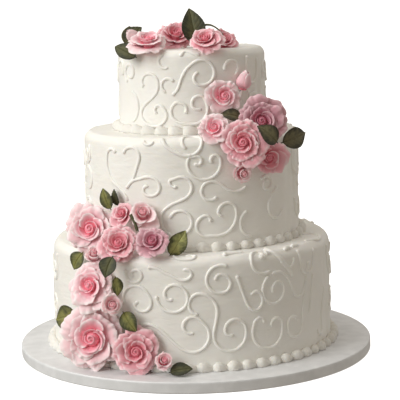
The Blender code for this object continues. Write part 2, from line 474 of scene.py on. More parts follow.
def set_points(mesh: bpy.types.Mesh, points: np.ndarray) -> None:
    """Move a mesh's points to the rows of an array."""
    mesh.vertices.foreach_set("co", np.asarray(points, float).ravel())
    mesh.update()


def smooth(piece: bpy.types.Object, angle: float = 50.0) -> None:
    """Shade a piece smooth but for edges sharper than an angle in degrees."""
    pick(piece)
    bpy.ops.object.shade_smooth_by_angle(angle=math.radians(angle))


def mount(piece: bpy.types.Object, finish: object, slot: str, *nodes: str) -> None:
    """Dress a finished piece and hang it on the frame in place of its solids."""
    Wardrobe.dress(piece, finish)
    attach(piece, BODY)
    if nodes:
        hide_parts(*nodes)
    LOG.info("%s: %d faces", piece.name, len(piece.data.polygons))


def unevenness(place: Vector, height: float = 0.45 * MM) -> float:
    """Return how far the icing stands proud at a place, where the spatula left it so."""
    slow = noise.noise(Vector((place.x * 26, place.y * 26, place.z * 15)))
    quick = noise.noise(Vector((place.x * 75, place.y * 75, place.z * 48)) + Vector((5, 3, 9)))
    return height * (slow + 0.35 * quick)


# ------------------------------------------------------------------------ tiers


@dataclass(frozen=True)
class Wall:
    """The outer face of a tier: it goes up the wall, round the shoulder and over the top."""

    centre: float
    radius: float
    foot: float
    crest: float
    shoulder: float
    flare: float

    @classmethod
    def of(cls, node: str, shoulder: float, flare: float) -> "Wall":
        """Read a tier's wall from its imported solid.

        Args:
            node: The tier's node.
            shoulder: Radius of the rounded top edge.
            flare: How far the foot stands out.

        Returns:
            The wall.
        """
        low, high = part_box(node)
        radius = (high.x - low.x) / 2 - flare
        return cls((low.x + high.x) / 2, radius, low.z, high.z, shoulder, flare)

    def section(self, up: float) -> tuple[float, float, float]:
        """Return radius, height and slope of the face at a length up from the foot.

        Args:
            up: Length along the face from its foot.

        Returns:
            The radius, the height above the foot, and the slope of the outward normal in
            radians: 0 on the wall, a quarter turn on the top.
        """
        tall = self.crest - self.foot
        wall = tall - self.shoulder
        if up < wall:
            lean = max(0.0, 1 - up / (0.3 * tall)) * 0.7 + 0.3 * (1 - up / wall)
            return self.radius + self.flare * lean, up, 0.0
        turn = (up - wall) / self.shoulder
        if turn < math.pi / 2:
            out = self.radius - self.shoulder * (1 - math.cos(turn))
            return out, wall + self.shoulder * math.sin(turn), turn
        over = up - wall - self.shoulder * math.pi / 2
        return self.radius - self.shoulder - over, tall, math.pi / 2

    def relief(self, place: Vector) -> float:
        """Return how far the icing stands proud at a place, with the lip along its top edge.

        Args:
            place: A point of the face.

        Returns:
            The height out from the face.
        """
        spoke = math.hypot(place.x - self.centre, place.y) - self.radius + self.shoulder
        rise = place.z - self.crest + self.shoulder
        if spoke < 0 or rise < 0:
            return unevenness(place) + self._streaks(place)
        turn = math.atan2(rise, spoke)
        patchy = 0.6 + 1.1 * noise.noise(Vector((place.x * 42, place.y * 42, 7.0)))
        lip = 0.8 * MM * max(0.0, patchy) * math.exp(-(((turn - 1.12) / 0.22) ** 2))
        return unevenness(place) + self._streaks(place) + lip

    def _streaks(self, place: Vector) -> float:
        """Return the height of the upright ridges that the spatula left round the right side."""
        turn = math.atan2(place.x - self.centre, -place.y)
        share = max(0.0, 1 - ((turn - 1.25) / 0.45) ** 2)
        share *= min(1.0, max(0.0, (self.crest - place.z) / (1.5 * self.shoulder)))
        ridge = noise.noise(Vector((turn * self.radius * 95, place.z * 17, 11.0)))
        return 2.6 * MM * share * ridge

    def point(self, along: float, up: float, lift: float = 0.0) -> Vector:
        """Return a point on the icing.

        Args:
            along: Length round the wall from the front, towards +X.
            up: Length up the face from its foot.
            lift: Distance out from the face.

        Returns:
            The point in the frame.
        """
        radius, height, slope = self.section(up)
        angle = along / self.radius
        outward = Vector((math.sin(angle), -math.cos(angle), 0.0))
        middle = Vector((self.centre, 0.0, self.foot + height))
        base = middle + outward * radius
        normal = outward * math.cos(slope) + Vector((0.0, 0.0, math.sin(slope)))
        return base + normal * (lift + self.relief(base))


@dataclass
class IcedTier:
    """One tier: a cake coated with icing, slightly uneven as a spatula leaves it."""

    node: str
    wall: Wall
    sides: int = 288
    shoulder_steps: int = 12
    wall_cuts: int = 22
    top_rings: int = 9

    def build(self) -> None:
        """Model the tier from a cylinder, dress it and hang it on the frame."""
        wall = self.wall
        tall = wall.crest - wall.foot
        body = start_with(
            bpy.ops.mesh.primitive_cylinder_add,
            vertices=self.sides,
            radius=wall.radius,
            depth=tall,
            location=(wall.centre, 0.0, wall.foot + tall / 2),
        )
        settle(body)
        bpy.ops.object.mode_set(mode="EDIT")
        bpy.ops.mesh.select_mode(type="EDGE")
        self._select_edges(body, wall.crest)
        bpy.ops.mesh.bevel(
            offset=wall.shoulder, segments=self.shoulder_steps, profile=0.5, affect="EDGES"
        )
        for level in (wall.crest, wall.foot):
            self._ring_cap(body, level)
        for step in range(1, self.wall_cuts):
            level = wall.foot + (tall - wall.shoulder) * (step / self.wall_cuts) ** 1.15
            bpy.ops.mesh.select_all(action="SELECT")
            bpy.ops.mesh.bisect(plane_co=(0.0, 0.0, level), plane_no=(0.0, 0.0, 1.0))
        bpy.ops.object.mode_set(mode="OBJECT")
        self._roughen(body)
        smooth(body, 40.0)
        join([body], self.node + "_icing")
        mount(body, ICING, "icing", self.node)

    @staticmethod
    def _select_edges(body: bpy.types.Object, level: float) -> None:
        """Select the edges of the rim that lies at a level."""
        shape = bmesh.from_edit_mesh(body.data)
        for edge in shape.edges:
            edge.select = all(abs(vert.co.z - level) < 1e-5 for vert in edge.verts)
        bmesh.update_edit_mesh(body.data)

    def _ring_cap(self, body: bpy.types.Object, level: float) -> None:
        """Divide a flat end into rings, closed at the middle."""
        bpy.ops.mesh.select_all(action="DESELECT")
        bpy.ops.mesh.select_mode(type="FACE")
        shape = bmesh.from_edit_mesh(body.data)
        for face in shape.faces:
            face.select = len(face.verts) > 4 and abs(face.calc_center_median().z - level) < 1e-4
        bmesh.update_edit_mesh(body.data)
        width = (self.wall.radius - self.wall.shoulder) / (self.top_rings + 1)
        for _ in range(self.top_rings):
            bpy.ops.mesh.inset(thickness=width)
        bpy.ops.mesh.poke()

    def _roughen(self, body: bpy.types.Object) -> None:
        """Flare the foot and push the icing in and out along its normals."""
        wall = self.wall
        normals = [vertex.normal.copy() for vertex in body.data.vertices]
        for vertex, normal in zip(body.data.vertices, normals):
            place = vertex.co.copy()
            outward = Vector((place.x - wall.centre, place.y, 0.0))
            if outward.length > wall.radius - 1e-4:
                lean, _, _ = wall.section(place.z - wall.foot)
                vertex.co += outward.normalized() * (lean - outward.length)
            if place.z > wall.foot + 0.1 * MM:
                vertex.co += normal * wall.relief(place)


# ---------------------------------------------------------------------- borders


@dataclass
class BeadBorder:
    """A piped border: one fat bead after another, each drawn out into a tail.

    Attributes:
        node: The border's node.
        wall: The wall that it runs along.
        pitch: Distance from bead to bead.
        length: Length of a bead, tail included.
        lean: How far each bead's middle stands from its place, as a share of the pitch.
        fill: How far the gaps are filled with run icing, from 0 to 1.
    """

    node: str
    wall: Wall
    pitch: float = 16.5 * MM
    length: float = 21.0 * MM
    lean: float = 0.17
    fill: float = 0.15

    def build(self) -> None:
        """Model one bead from a ball, copy it round the tier and join the ring."""
        low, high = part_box(self.node)
        inner = self.wall.radius + self.wall.flare
        depth = (high.x - low.x) / 2 - inner
        height = high.z - low.z
        count = round(2 * math.pi * (inner + depth / 2) / self.pitch)
        blank = self._bead(depth, height)
        shape = points_of(blank.data)
        dice = random.Random(self.node)
        beads = []
        for index in range(count):
            bead = copy_of(blank)
            size = 1 + dice.uniform(-0.07, 0.07)
            nod = dice.uniform(-0.06, 0.06)
            angle = 2 * math.pi * (index - 0.5) / count + self.lean * self.pitch / inner
            angle += dice.uniform(-0.05, 0.05) * self.pitch / inner
            along = (shape[:, 0] * size + self.lean * self.pitch) / inner
            out = inner - 0.8 * MM + shape[:, 1] * size + nod * shape[:, 0]
            up = low.z - 0.2 * MM + np.maximum(0.0, shape[:, 2] * size)
            turn = angle + along
            columns = (self.wall.centre + out * np.sin(turn), -out * np.cos(turn), up)
            set_points(bead.data, np.stack(columns, axis=1))
            beads.append(bead)
        bpy.data.objects.remove(blank)
        ring = join(beads, self.node + "_beads")
        smooth(ring, 70.0)
        # The beads wear the darkened icing: painted shade.
        mount(ring, SHADED_BEADS, "icing", self.node)

    def _bead(self, depth: float, height: float) -> bpy.types.Object:
        """Model one bead: x along the ring, y out from the wall, z up.

        Args:
            depth: How far it stands out.
            height: How tall it is.

        Returns:
            A bead with its head towards -x and its tail towards +x.
        """
        ball = start_with(
            bpy.ops.mesh.primitive_uv_sphere_add,
            segments=14,
            ring_count=11,
            radius=1.0,
            rotation=(0.0, math.pi / 2, 0.0),
        )
        settle(ball)
        place = points_of(ball.data)
        share = (1 - np.cos(0.5 * math.pi * (place[:, 0] + 1))) / 2
        marks = (0.0, 0.04, 0.12, 0.27, 0.42, 0.56, 0.70, 0.85, 0.95, 1.0)
        girths = (0.0, 0.45, 0.80, 1.0, 0.94, 0.74, 0.56, 0.42, 0.25, 0.0)
        girth = np.interp(share, marks, girths)
        girth += self.fill * (np.minimum(1.0, 1.1 * np.sin(math.pi * share) ** 0.4) - girth)
        around = np.hypot(place[:, 1], place[:, 2]) + 1e-9
        across = place[:, 1] / around * girth
        upward = place[:, 2] / around * girth
        lengthwise = (share - 0.5) * self.length
        foot = 0.22 * np.clip(-place[:, 2], 0.0, 1.0) ** 2 * girth
        sunk = (depth + 0.8 * MM) * (0.44 * girth + 0.56 * across + foot)
        lying = height * (0.40 * girth + 0.60 * upward)
        set_points(ball.data, np.stack((lengthwise, sunk, lying), axis=1))
        return ball


# ---------------------------------------------------------------------- scrolls


@dataclass(frozen=True)
class Arc:
    """A stretch of a scroll that winds about a middle, in millimetres and degrees.

    x is the length round the wall from the front and z the length up from the foot. The
    radius goes from start_radius to end_radius while the angle goes from start to end;
    0 degrees points to the right and 90 up. tall stretches the winding upwards.
    """

    x: float
    z: float
    start_radius: float
    end_radius: float
    start: float
    end: float
    tall: float = 1.0

    def trace(self, step: float) -> list[tuple[float, float]]:
        """Return points along the arc, about a step apart."""
        reach = max(self.start_radius, self.end_radius)
        count = max(6, round(math.radians(abs(self.end - self.start)) * reach / step))
        path = []
        for index in range(count + 1):
            share = index / count
            radius = self.start_radius + (self.end_radius - self.start_radius) * share
            angle = math.radians(self.start + (self.end - self.start) * share)
            height = self.z + self.tall * radius * math.sin(angle)
            path.append((self.x + radius * math.cos(angle), height))
        return path


@dataclass(frozen=True)
class Spot:
    """A place that a scroll passes through, in millimetres."""

    x: float
    z: float

    def trace(self, step: float) -> list[tuple[float, float]]:
        """Return the place alone."""
        return [(self.x, self.z)]


Stroke = tuple[Arc | Spot, ...]

LOWER_STROKES: tuple[Stroke, ...] = (
    (Arc(-61, 103, 12, 3, 150, 600, 0.85),),
    (Arc(-42, 95, 17, 17, 105, 55), Arc(-7, 106, 12, 4, 215, 470, 0.75)),
    (Arc(-18, 80.5, 19.5, 13, 178, 400), Arc(-19, 81.5, 12.5, 9.5, 70, 180),
     Arc(-21.5, 81, 7, 3, 180, 300)),
    (Arc(-60, 76, 16, 15, 200, 30), Arc(-54, 73, 11, 9, 10, -120),
     Arc(-58, 70, 4.5, 3.5, -150, -280)),
    (Arc(-48, 33, 17, 17, 120, 60), Arc(0, 38.5, 18.5, 17.8, 235, 405),
     Arc(-0.5, 47.5, 11.5, 6.5, 60, 290)),
    (Arc(8, 71, 10, 12.5, 262, 90), Arc(8, 63.5, 19.5, 19, 75, -5),
     Arc(40.5, 37.5, 18, 18, 168, 365), Arc(45.5, 42, 12.5, 10.5, 20, 180),
     Arc(41.5, 42.5, 7, 6, 180, 300)),
    (Arc(31, 97.5, 15.5, 14.5, 60, 270), Arc(32.5, 93, 10, 9.5, 270, 400),
     Arc(31, 97.5, 6, 5.5, 60, 190)),
    (Spot(49, 101), Spot(55, 83), Arc(70.5, 72, 9.5, 7, 220, 500, 1.25)),
    (Arc(76, 119, 5.5, 7, -10, 120), Arc(82, 114, 16, 14, 160, 300)),
    (Spot(104, 111), Arc(116, 109, 8, 7, 225, 380)),
    (Arc(98, 80, 19, 19, 115, 25), Spot(121, 76), Arc(131, 76, 9, 9, 230, 330), Spot(147, 84)),
    (Arc(95, 80, 17, 13, 118, 330, 1.05), Arc(98, 79, 10, 6, 350, 560, 1.2)),
    (Arc(75, 47.5, 4.5, 5, -20, 120), Arc(85, 36.5, 19, 19, 165, 370),
     Arc(96.5, 41.5, 8, 7.5, 10, 190)),
    (Spot(149, 103), Spot(145, 83), Spot(139, 60), Arc(123.5, 35, 12, 11.5, 0, -180),
     Arc(121.5, 38.5, 9.5, 7, 170, 20)),
    (Spot(131, 119), Arc(147, 102, 13, 12, 175, 330), Spot(161, 116)),
    (Spot(159, 88), Spot(155, 66), Spot(150, 45)),
    (Spot(188, 68), Spot(182, 42), Arc(175, 24, 7, 6, 0, -170, 1.4)),
    (Spot(-20.6, 126), Spot(-14, 121.5), Spot(-3, 120.5), Spot(5, 123), Spot(3, 128),
     Spot(-6, 128.5)),
    (Spot(163, 129), Spot(183, 122), Spot(200, 124), Spot(212, 136), Spot(205, 146),
     Spot(187, 141)),
)

MIDDLE_STROKES: tuple[Stroke, ...] = (
    (Arc(-94, 101, 6, 9, 30, 180), Spot(-103, 88), Spot(-96, 74), Spot(-86, 67), Spot(-77, 60),
     Spot(-73, 53)),
    (Arc(-67, 101, 11, 10, 165, -10), Spot(-60, 91), Spot(-65, 77)),
    (Spot(-75, 66), Spot(-66, 75), Arc(-46, 68, 15, 10, 125, -90, 0.85),
     Arc(-48, 66, 6, 4, -110, -290)),
    (Arc(-17, 74, 4, 6.5, -60, -200), Arc(-11, 69, 11.5, 12, 125, -40, 0.98), Spot(-24, 49),
     Arc(-16, 33, 18, 17, 160, 262), Arc(-13, 32, 14, 11, 280, 525)),
    (Spot(-31, 121), Spot(-25, 113), Arc(-3.5, 117.5, 16, 16, 240, 350, 0.92),
     Arc(1.5, 118.5, 11.5, 10, 15, 235)),
    (Arc(-46, 121, 7, 6, 190, 340),),
    (Arc(7, 97, 3.5, 6, -150, 130), Arc(14.5, 94, 18, 18, 155, 365, 0.95),
     Arc(26, 97.5, 6.5, 4, 20, 230)),
    (Arc(21, 63.5, 8.5, 11.5, -40, -275), Arc(50, 78, 16, 16, 238, 318)),
    (Arc(15.5, 32.5, 4.5, 5.5, -20, 90), Arc(16, 27, 11, 12, 130, 250),
     Arc(27, 38, 22.5, 22.5, 260, 380), Arc(39, 40, 11, 10.5, 15, 180),
     Arc(32.5, 40.5, 4, 3, 180, 290)),
    (Arc(67, 27, 13, 14, 110, 275, 1.05),),
    (Arc(90, 67, 10, 3, 150, -330),),
    (Spot(107, 62), Arc(106, 41, 14, 14, 150, 260), Spot(118, 36)),
    (Arc(-152, 98, 12, 4, 60, -300), Arc(-150, 70, 14, 10, 90, -90)),
)

TOP_STROKES: tuple[Stroke, ...] = (
    (Arc(-79, 66, 12, 4, -120, -500),),
    (Arc(-79, 29, 13, 13, 80, -80, 1.3),),
    (Arc(-51, 55, 7, 13, 215, 20), Arc(-52, 53, 14, 14, 10, -38),
     Arc(-44, 21, 17.5, 15, 145, 385, 0.78), Arc(-38.5, 25.5, 7, 3, 50, 250)),
    (Arc(-29, 79, 8.5, 7, 110, 300),),
    (Arc(-26, 53.5, 7, 8.5, 30, 250),),
    (Spot(-22, 42.5), Spot(-16, 48), Spot(-11.5, 60), Spot(-6, 70),
     Arc(11.5, 66, 14.5, 13, 125, -95), Arc(9.5, 61, 8, 6.5, -110, -250)),
    (Arc(-12.5, 26.5, 6, 7.5, -40, 100), Arc(-12, 25, 11, 12, 110, 250),
     Arc(0, 27.5, 17, 17, 255, 385), Arc(7, 33, 9, 6, 50, 300)),
    (Arc(46, 70, 9, 8.5, 195, -60),),
    (Spot(68, 83), Arc(78, 66, 10, 9, 190, 340, 1.5), Spot(88, 80)),
    (Spot(70, 44), Arc(80, 28, 11, 8, 160, -60, 1.3)),
    (Spot(-12, 84.5), Spot(-7, 91), Spot(4, 87), Spot(10, 86)),
)


def curl(x: float, z: float, size: float, tail: float, hand: int) -> Stroke:
    """Return a spiral with a short tail, for the gaps between the bigger scrolls.

    Args:
        x: Place of its middle round the wall, in millimetres.
        z: Height of its middle up from the foot.
        size: Its outer radius.
        tail: How far above its middle the tail starts, or below where it is negative.
        hand: 1 for a tail on the left, -1 for a tail on the right.

    Returns:
        The stroke.
    """
    start, turn = (30.0, 400.0) if tail > 0 else (-30.0, -400.0)
    start, turn = (180 + start, turn) if hand > 0 else (-start, -turn)
    return (
        Spot(x - hand * 1.15 * size, z + tail),
        Arc(x, z, size, 0.28 * size, start, start + turn, 0.92),
    )


LOWER_CURLS = (
    curl(222, 88, 13, 24, 1),
    curl(228, 46, 15, -20, -1),
    curl(521, 84, 10, 24, 1),
    curl(522, 42, 11, -18, 1),
    curl(784, 90, 14, 20, -1),
    curl(782, 46, 15, -20, 1),
)

MIDDLE_CURLS = (
    curl(162, 30, 11, 14, 1),
    curl(196, 30, 12, -8, -1),
    curl(302, 90, 14, 18, 1),
    curl(300, 46, 13, -16, -1),
    curl(324, 34, 10, 20, 1),
    curl(388, 30, 12, -8, 1),
    curl(420, 31, 12, 14, -1),
    curl(533, 92, 13, 16, 1),
    curl(530, 44, 12, -16, 1),
    curl(590, 90, 12, -20, -1),
    curl(612, 42, 13, 22, 1),
)

BOLD_LOWER: tuple[Stroke, ...] = (
    (Spot(91, 131), Spot(94, 124.5), Spot(99, 118), Spot(107, 109), Spot(115.4, 99),
     Spot(121, 91)),
    (Spot(77, 116.5), Spot(81, 118.5), Spot(85, 116.5)),
    (Spot(85, 120.5), Spot(88, 122), Spot(91, 120.5)),
    (Spot(113, 121), Spot(118, 124), Spot(124, 122.5)),
    (Spot(128, 126), Spot(134, 124.5), Spot(140, 125)),
    (Spot(36, 125), Spot(44, 127), Spot(52, 128.5), Spot(61, 128)),
)

BOLD_MIDDLE: tuple[Stroke, ...] = (
    (Spot(-32, 122), Spot(-25.5, 113), Arc(-3.5, 117.5, 16, 16, 240, 290, 0.92)),
)


@dataclass
class Scrollwork:
    """The scrolls piped on one tier: the front strokes, and the same hand going round."""

    name: str
    wall: Wall
    strokes: tuple[Stroke, ...]
    block: tuple[float, float] = (0.0, 0.0)
    repeats: tuple[float, ...] = ()
    stretch: tuple[float, float] = (0.0, 0.0)
    bore: float = 1.9 * MM
    proud: float = -0.2 * MM
    step: float = 1.3

    def build(self) -> None:
        """Pipe every stroke, turn the lines into one mesh and hang it on the frame."""
        lines = [self._pipe(stroke, 0.0, index) for index, stroke in enumerate(self.strokes)]
        for turn, shift in enumerate(self.repeats):
            for index, stroke in enumerate(self.strokes):
                if self._fits(stroke, shift):
                    lines.append(self._pipe(stroke, shift, 100 * (turn + 1) + index))
        piece = join(lines, self.name)
        settle(piece)
        smooth(piece, 60.0)
        mount(piece, PIPING, "icing")

    def _fits(self, stroke: Stroke, shift: float) -> bool:
        """Tell whether a stroke is in the repeated block, and moved stays in the hidden stretch."""
        places = [x for part in stroke for x, _ in part.trace(self.step)]
        low = max(self.block[0], self.stretch[0] - shift)
        high = min(self.block[1], self.stretch[1] - shift)
        return low < min(places) and max(places) < high

    def _pipe(self, stroke: Stroke, shift: float, seed: int) -> bpy.types.Object:
        """Pipe one stroke as a tube half sunk in the icing.

        Args:
            stroke: Its arcs and places.
            shift: How far round the wall it is moved, in millimetres.
            seed: What its unsteadiness starts from.

        Returns:
            The stroke as a mesh object.
        """
        path = self._even(self._route(stroke))
        dice = random.Random(f"{self.name}{seed}")
        offset = dice.uniform(0, 50)
        curve = bpy.data.curves.new(f"{self.name}_{seed}", "CURVE")
        curve.dimensions = "3D"
        curve.bevel_depth = self.bore
        curve.bevel_resolution = 3
        curve.use_fill_caps = True
        spline = curve.splines.new("POLY")
        spline.points.add(len(path) - 1)
        last = len(path) - 1
        for index, (x, z) in enumerate(path):
            lift = self.proud + 0.2 * MM * noise.noise(Vector((offset, index * 0.11, 0.0)))
            place = self.wall.point((x + shift) * MM, z * MM, lift)
            spline.points[index].co = (*place, 1.0)
            spline.points[index].radius = self._girth(index, last, offset)
        line = bpy.data.objects.new(curve.name, curve)
        bpy.context.scene.collection.objects.link(line)
        pick(line)
        bpy.ops.object.convert(target="MESH")
        return bpy.context.active_object

    def _girth(self, index: int, last: int, offset: float) -> float:
        """Return how thick the line is at a point, as a share of its bore."""
        steady = 1 + 0.13 * noise.noise(Vector((index * 0.16, offset, 3.0)))
        near = min(index, last - index) * self.step
        blob = 0.32 * math.exp(-((near - 1.6) / 1.5) ** 2) if index < last / 2 else 0.0
        end = math.sqrt(min(1.0, (near + 0.25) / 1.8))
        return (steady + blob) * end

    def _route(self, stroke: Stroke) -> list[tuple[float, float]]:
        """Trace a stroke's parts and bridge the gaps between them with smooth curves."""
        traces = [part.trace(self.step) for part in stroke]
        route = list(traces[0])
        for index in range(1, len(traces)):
            start, end = traces[index - 1][-1], traces[index][0]
            before = self._heading(traces, index - 1, at_end=True)
            after = self._heading(traces, index, at_end=False)
            gap = math.dist(start, end)
            for step in range(1, max(2, round(gap / self.step))):
                share = step / max(2, round(gap / self.step))
                route.append(self._bridge(start, before, end, after, gap, share))
            route += traces[index]
        return route

    @staticmethod
    def _heading(traces: list, index: int, at_end: bool) -> tuple[float, float]:
        """Return the direction of travel at one end of a trace."""
        trace = traces[index]
        if len(trace) > 1:
            first, second = (trace[-2], trace[-1]) if at_end else (trace[0], trace[1])
        else:
            first = traces[index - 1][-1] if index else trace[0]
            second = traces[index + 1][0] if index + 1 < len(traces) else trace[0]
        length = math.dist(first, second) or 1.0
        return (second[0] - first[0]) / length, (second[1] - first[1]) / length

    @staticmethod
    def _bridge(start: tuple, before: tuple, end: tuple, after: tuple, gap: float,
                share: float) -> tuple[float, float]:
        """Return a point of the cubic that leaves one trace and meets the next."""
        s2, s3 = share**2, share**3
        weights = (2 * s3 - 3 * s2 + 1, s3 - 2 * s2 + share, 3 * s2 - 2 * s3, s3 - s2)
        return tuple(
            weights[0] * start[k] + weights[1] * gap * before[k]
            + weights[2] * end[k] + weights[3] * gap * after[k]
            for k in (0, 1)
        )

    def _even(self, route: Sequence[tuple[float, float]]) -> list[tuple[float, float]]:
        """Ease a route's corners and space its points evenly."""
        path = np.array(route, float)
        for _ in range(3):
            path[1:-1] = 0.25 * path[:-2] + 0.5 * path[1:-1] + 0.25 * path[2:]
        steps = np.hypot(*np.diff(path, axis=0).T)
        run = np.concatenate([[0.0], np.cumsum(steps)])
        marks = np.linspace(0.0, run[-1], max(8, round(run[-1] / self.step)))
        return [(np.interp(m, run, path[:, 0]), np.interp(m, run, path[:, 1])) for m in marks]


# --------------------------------------------------------------- where things sit


@dataclass(frozen=True)
class Seat:
    """Where a flower or leaf sits: its foot, its three directions and its size."""

    foot: Vector
    right: Vector
    upward: Vector
    axis: Vector
    reach: float
    depth: float

    @classmethod
    def of_flower(cls, node: str) -> "Seat":
        """Read a flower's seat from its solid, whose flat foot is its largest flat face.

        Args:
            node: The flower's node.

        Returns:
            The seat: foot at the middle of the flat face, axis out of the flower.
        """
        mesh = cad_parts[node].data
        flats: dict[tuple, float] = {}
        for face in mesh.polygons:
            key = tuple(round(part, 2) for part in face.normal)
            flats[key] = flats.get(key, 0.0) + face.area
        widest = max(flats, key=flats.get)
        axis = -Vector(widest).normalized()
        points = points_of(mesh)
        heights = points @ np.array(axis)
        sole = points[heights < heights.min() + 0.2 * MM]
        foot = Vector((sole.max(0) + sole.min(0)) / 2)
        spokes = points - np.array(foot)
        spokes -= np.outer(spokes @ np.array(axis), np.array(axis))
        reach = float(np.linalg.norm(spokes, axis=1).max())
        upward = (Vector((0, 0, 1)) - axis * axis.z).normalized()
        depth = float(heights.max() - heights.min())
        return cls(foot, upward.cross(axis), upward, axis, reach, depth)

    @classmethod
    def of_leaf(cls, node: str) -> "Seat":
        """Read a leaf's seat from its solid.

        Args:
            node: The leaf's node.

        Returns:
            The seat: foot at the leaf's middle, upward along it to the tip, axis out of its
            face, reach half its width and depth its length.
        """
        points = np.unique(np.round(points_of(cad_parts[node].data), 6), axis=0)
        middle = points.mean(0)
        around = points - middle
        _, _, axes = np.linalg.svd(around, full_matrices=False)
        length, width, face = (Vector(axis) for axis in axes)
        along = around @ np.array(length)
        across = np.abs(around @ np.array(width))
        if float((across * along).sum()) > 0:
            length = -length
            along = -along
        ends = (points[along.argmax()] + points[along.argmin()]) / 2
        if (Vector(middle) - Vector(ends)).dot(face) < 0:
            face = -face
        reach = float(across.max())
        depth = float(along.max() - along.min())
        return cls(Vector(ends), length.cross(face), length, face, reach, depth)

    def nodded(self, angle: float) -> "Seat":
        """Return the seat turned about its middle so that the flower looks higher up.

        Args:
            angle: How far it is turned, in radians.

        Returns:
            The turned seat.
        """
        turn = Matrix.Rotation(-angle, 3, self.right)
        middle = self.foot + self.axis * (0.45 * self.depth)
        foot = middle + turn @ (self.foot - middle)
        return replace(self, foot=foot, upward=turn @ self.upward, axis=turn @ self.axis)

    def turned(self, angle: float) -> "Seat":
        """Return the seat turned in its own face, counter-clockwise.

        Args:
            angle: How far it is turned, in radians.

        Returns:
            The turned seat.
        """
        turn = Matrix.Rotation(angle, 3, self.axis)
        return replace(self, right=turn @ self.right, upward=turn @ self.upward)

    def matrix(self) -> np.ndarray:
        """Return the rows right, upward and axis, for turning local points."""
        return np.array([self.right, self.upward, self.axis])

    def carry(self, local: np.ndarray) -> np.ndarray:
        """Move points from the seat's own directions into the frame."""
        return local @ self.matrix() + np.array(self.foot)


# ----------------------------------------------------------------------- petals


@dataclass(frozen=True)
class Whorl:
    """One ring of petals. Lengths are shares of the flower's reach or depth.

    Attributes:
        petals: How many petals it has.
        reach: Distance of the rim from the axis.
        lift: Height of the rim.
        spread: Half a petal's width, in degrees.
        root: Distance of the petal's root from the axis.
        rise: Direction of the petal at its root, in degrees above the face.
        lean: Direction at its rim: 90 is upright, 0 flat, less is turned back.
        ruffle: Depth of the rim's waves.
        curl: How far the rim rolls outwards.
        age: 0 in the heart, 1 outermost.
    """

    petals: int
    reach: float
    lift: float
    spread: float
    root: float
    rise: float
    lean: float
    ruffle: float
    curl: float
    age: float


ROSE_WHORLS = (
    Whorl(3, 0.34, 0.93, 76, 0.12, 80, 74, 0.020, 0.040, 0.30),
    Whorl(4, 0.52, 0.90, 60, 0.15, 70, 48, 0.040, 0.070, 0.55),
    Whorl(5, 0.76, 0.80, 52, 0.18, 56, 26, 0.060, 0.080, 0.80),
    Whorl(6, 1.00, 0.60, 46, 0.22, 42, 6, 0.075, 0.080, 1.0),
)
SMALL_WHORLS = (
    Whorl(3, 0.33, 0.96, 78, 0.13, 84, 76, 0.018, 0.040, 0.30),
    Whorl(4, 0.62, 0.92, 62, 0.17, 70, 50, 0.045, 0.080, 0.58),
    Whorl(5, 1.00, 0.72, 55, 0.22, 50, 16, 0.080, 0.095, 0.95),
)
CUPPED_WHORLS = (
    Whorl(3, 0.28, 0.96, 80, 0.13, 84, 80, 0.015, 0.035, 0.26),
    Whorl(4, 0.52, 1.00, 62, 0.18, 76, 68, 0.040, 0.080, 0.50),
    Whorl(5, 0.82, 0.92, 56, 0.22, 60, 40, 0.065, 0.120, 0.78),
    Whorl(5, 1.08, 0.48, 54, 0.24, 34, -8, 0.080, 0.110, 1.0),
)
OPENING_WHORLS = (
    Whorl(3, 0.50, 0.97, 84, 0.25, 78, 80, 0.02, 0.06, 0.50),
    Whorl(3, 0.92, 0.88, 72, 0.28, 56, 56, 0.05, 0.14, 0.85),
    Whorl(4, 1.15, 0.55, 56, 0.28, 44, 22, 0.08, 0.12, 1.0),
)
CLOSED_WHORLS = (
    Whorl(2, 0.16, 1.0, 110, 0.40, 34, 122, 0.01, 0.02, 0.60),
    Whorl(3, 0.30, 0.92, 92, 0.44, 30, 124, 0.03, 0.03, 0.80),
)


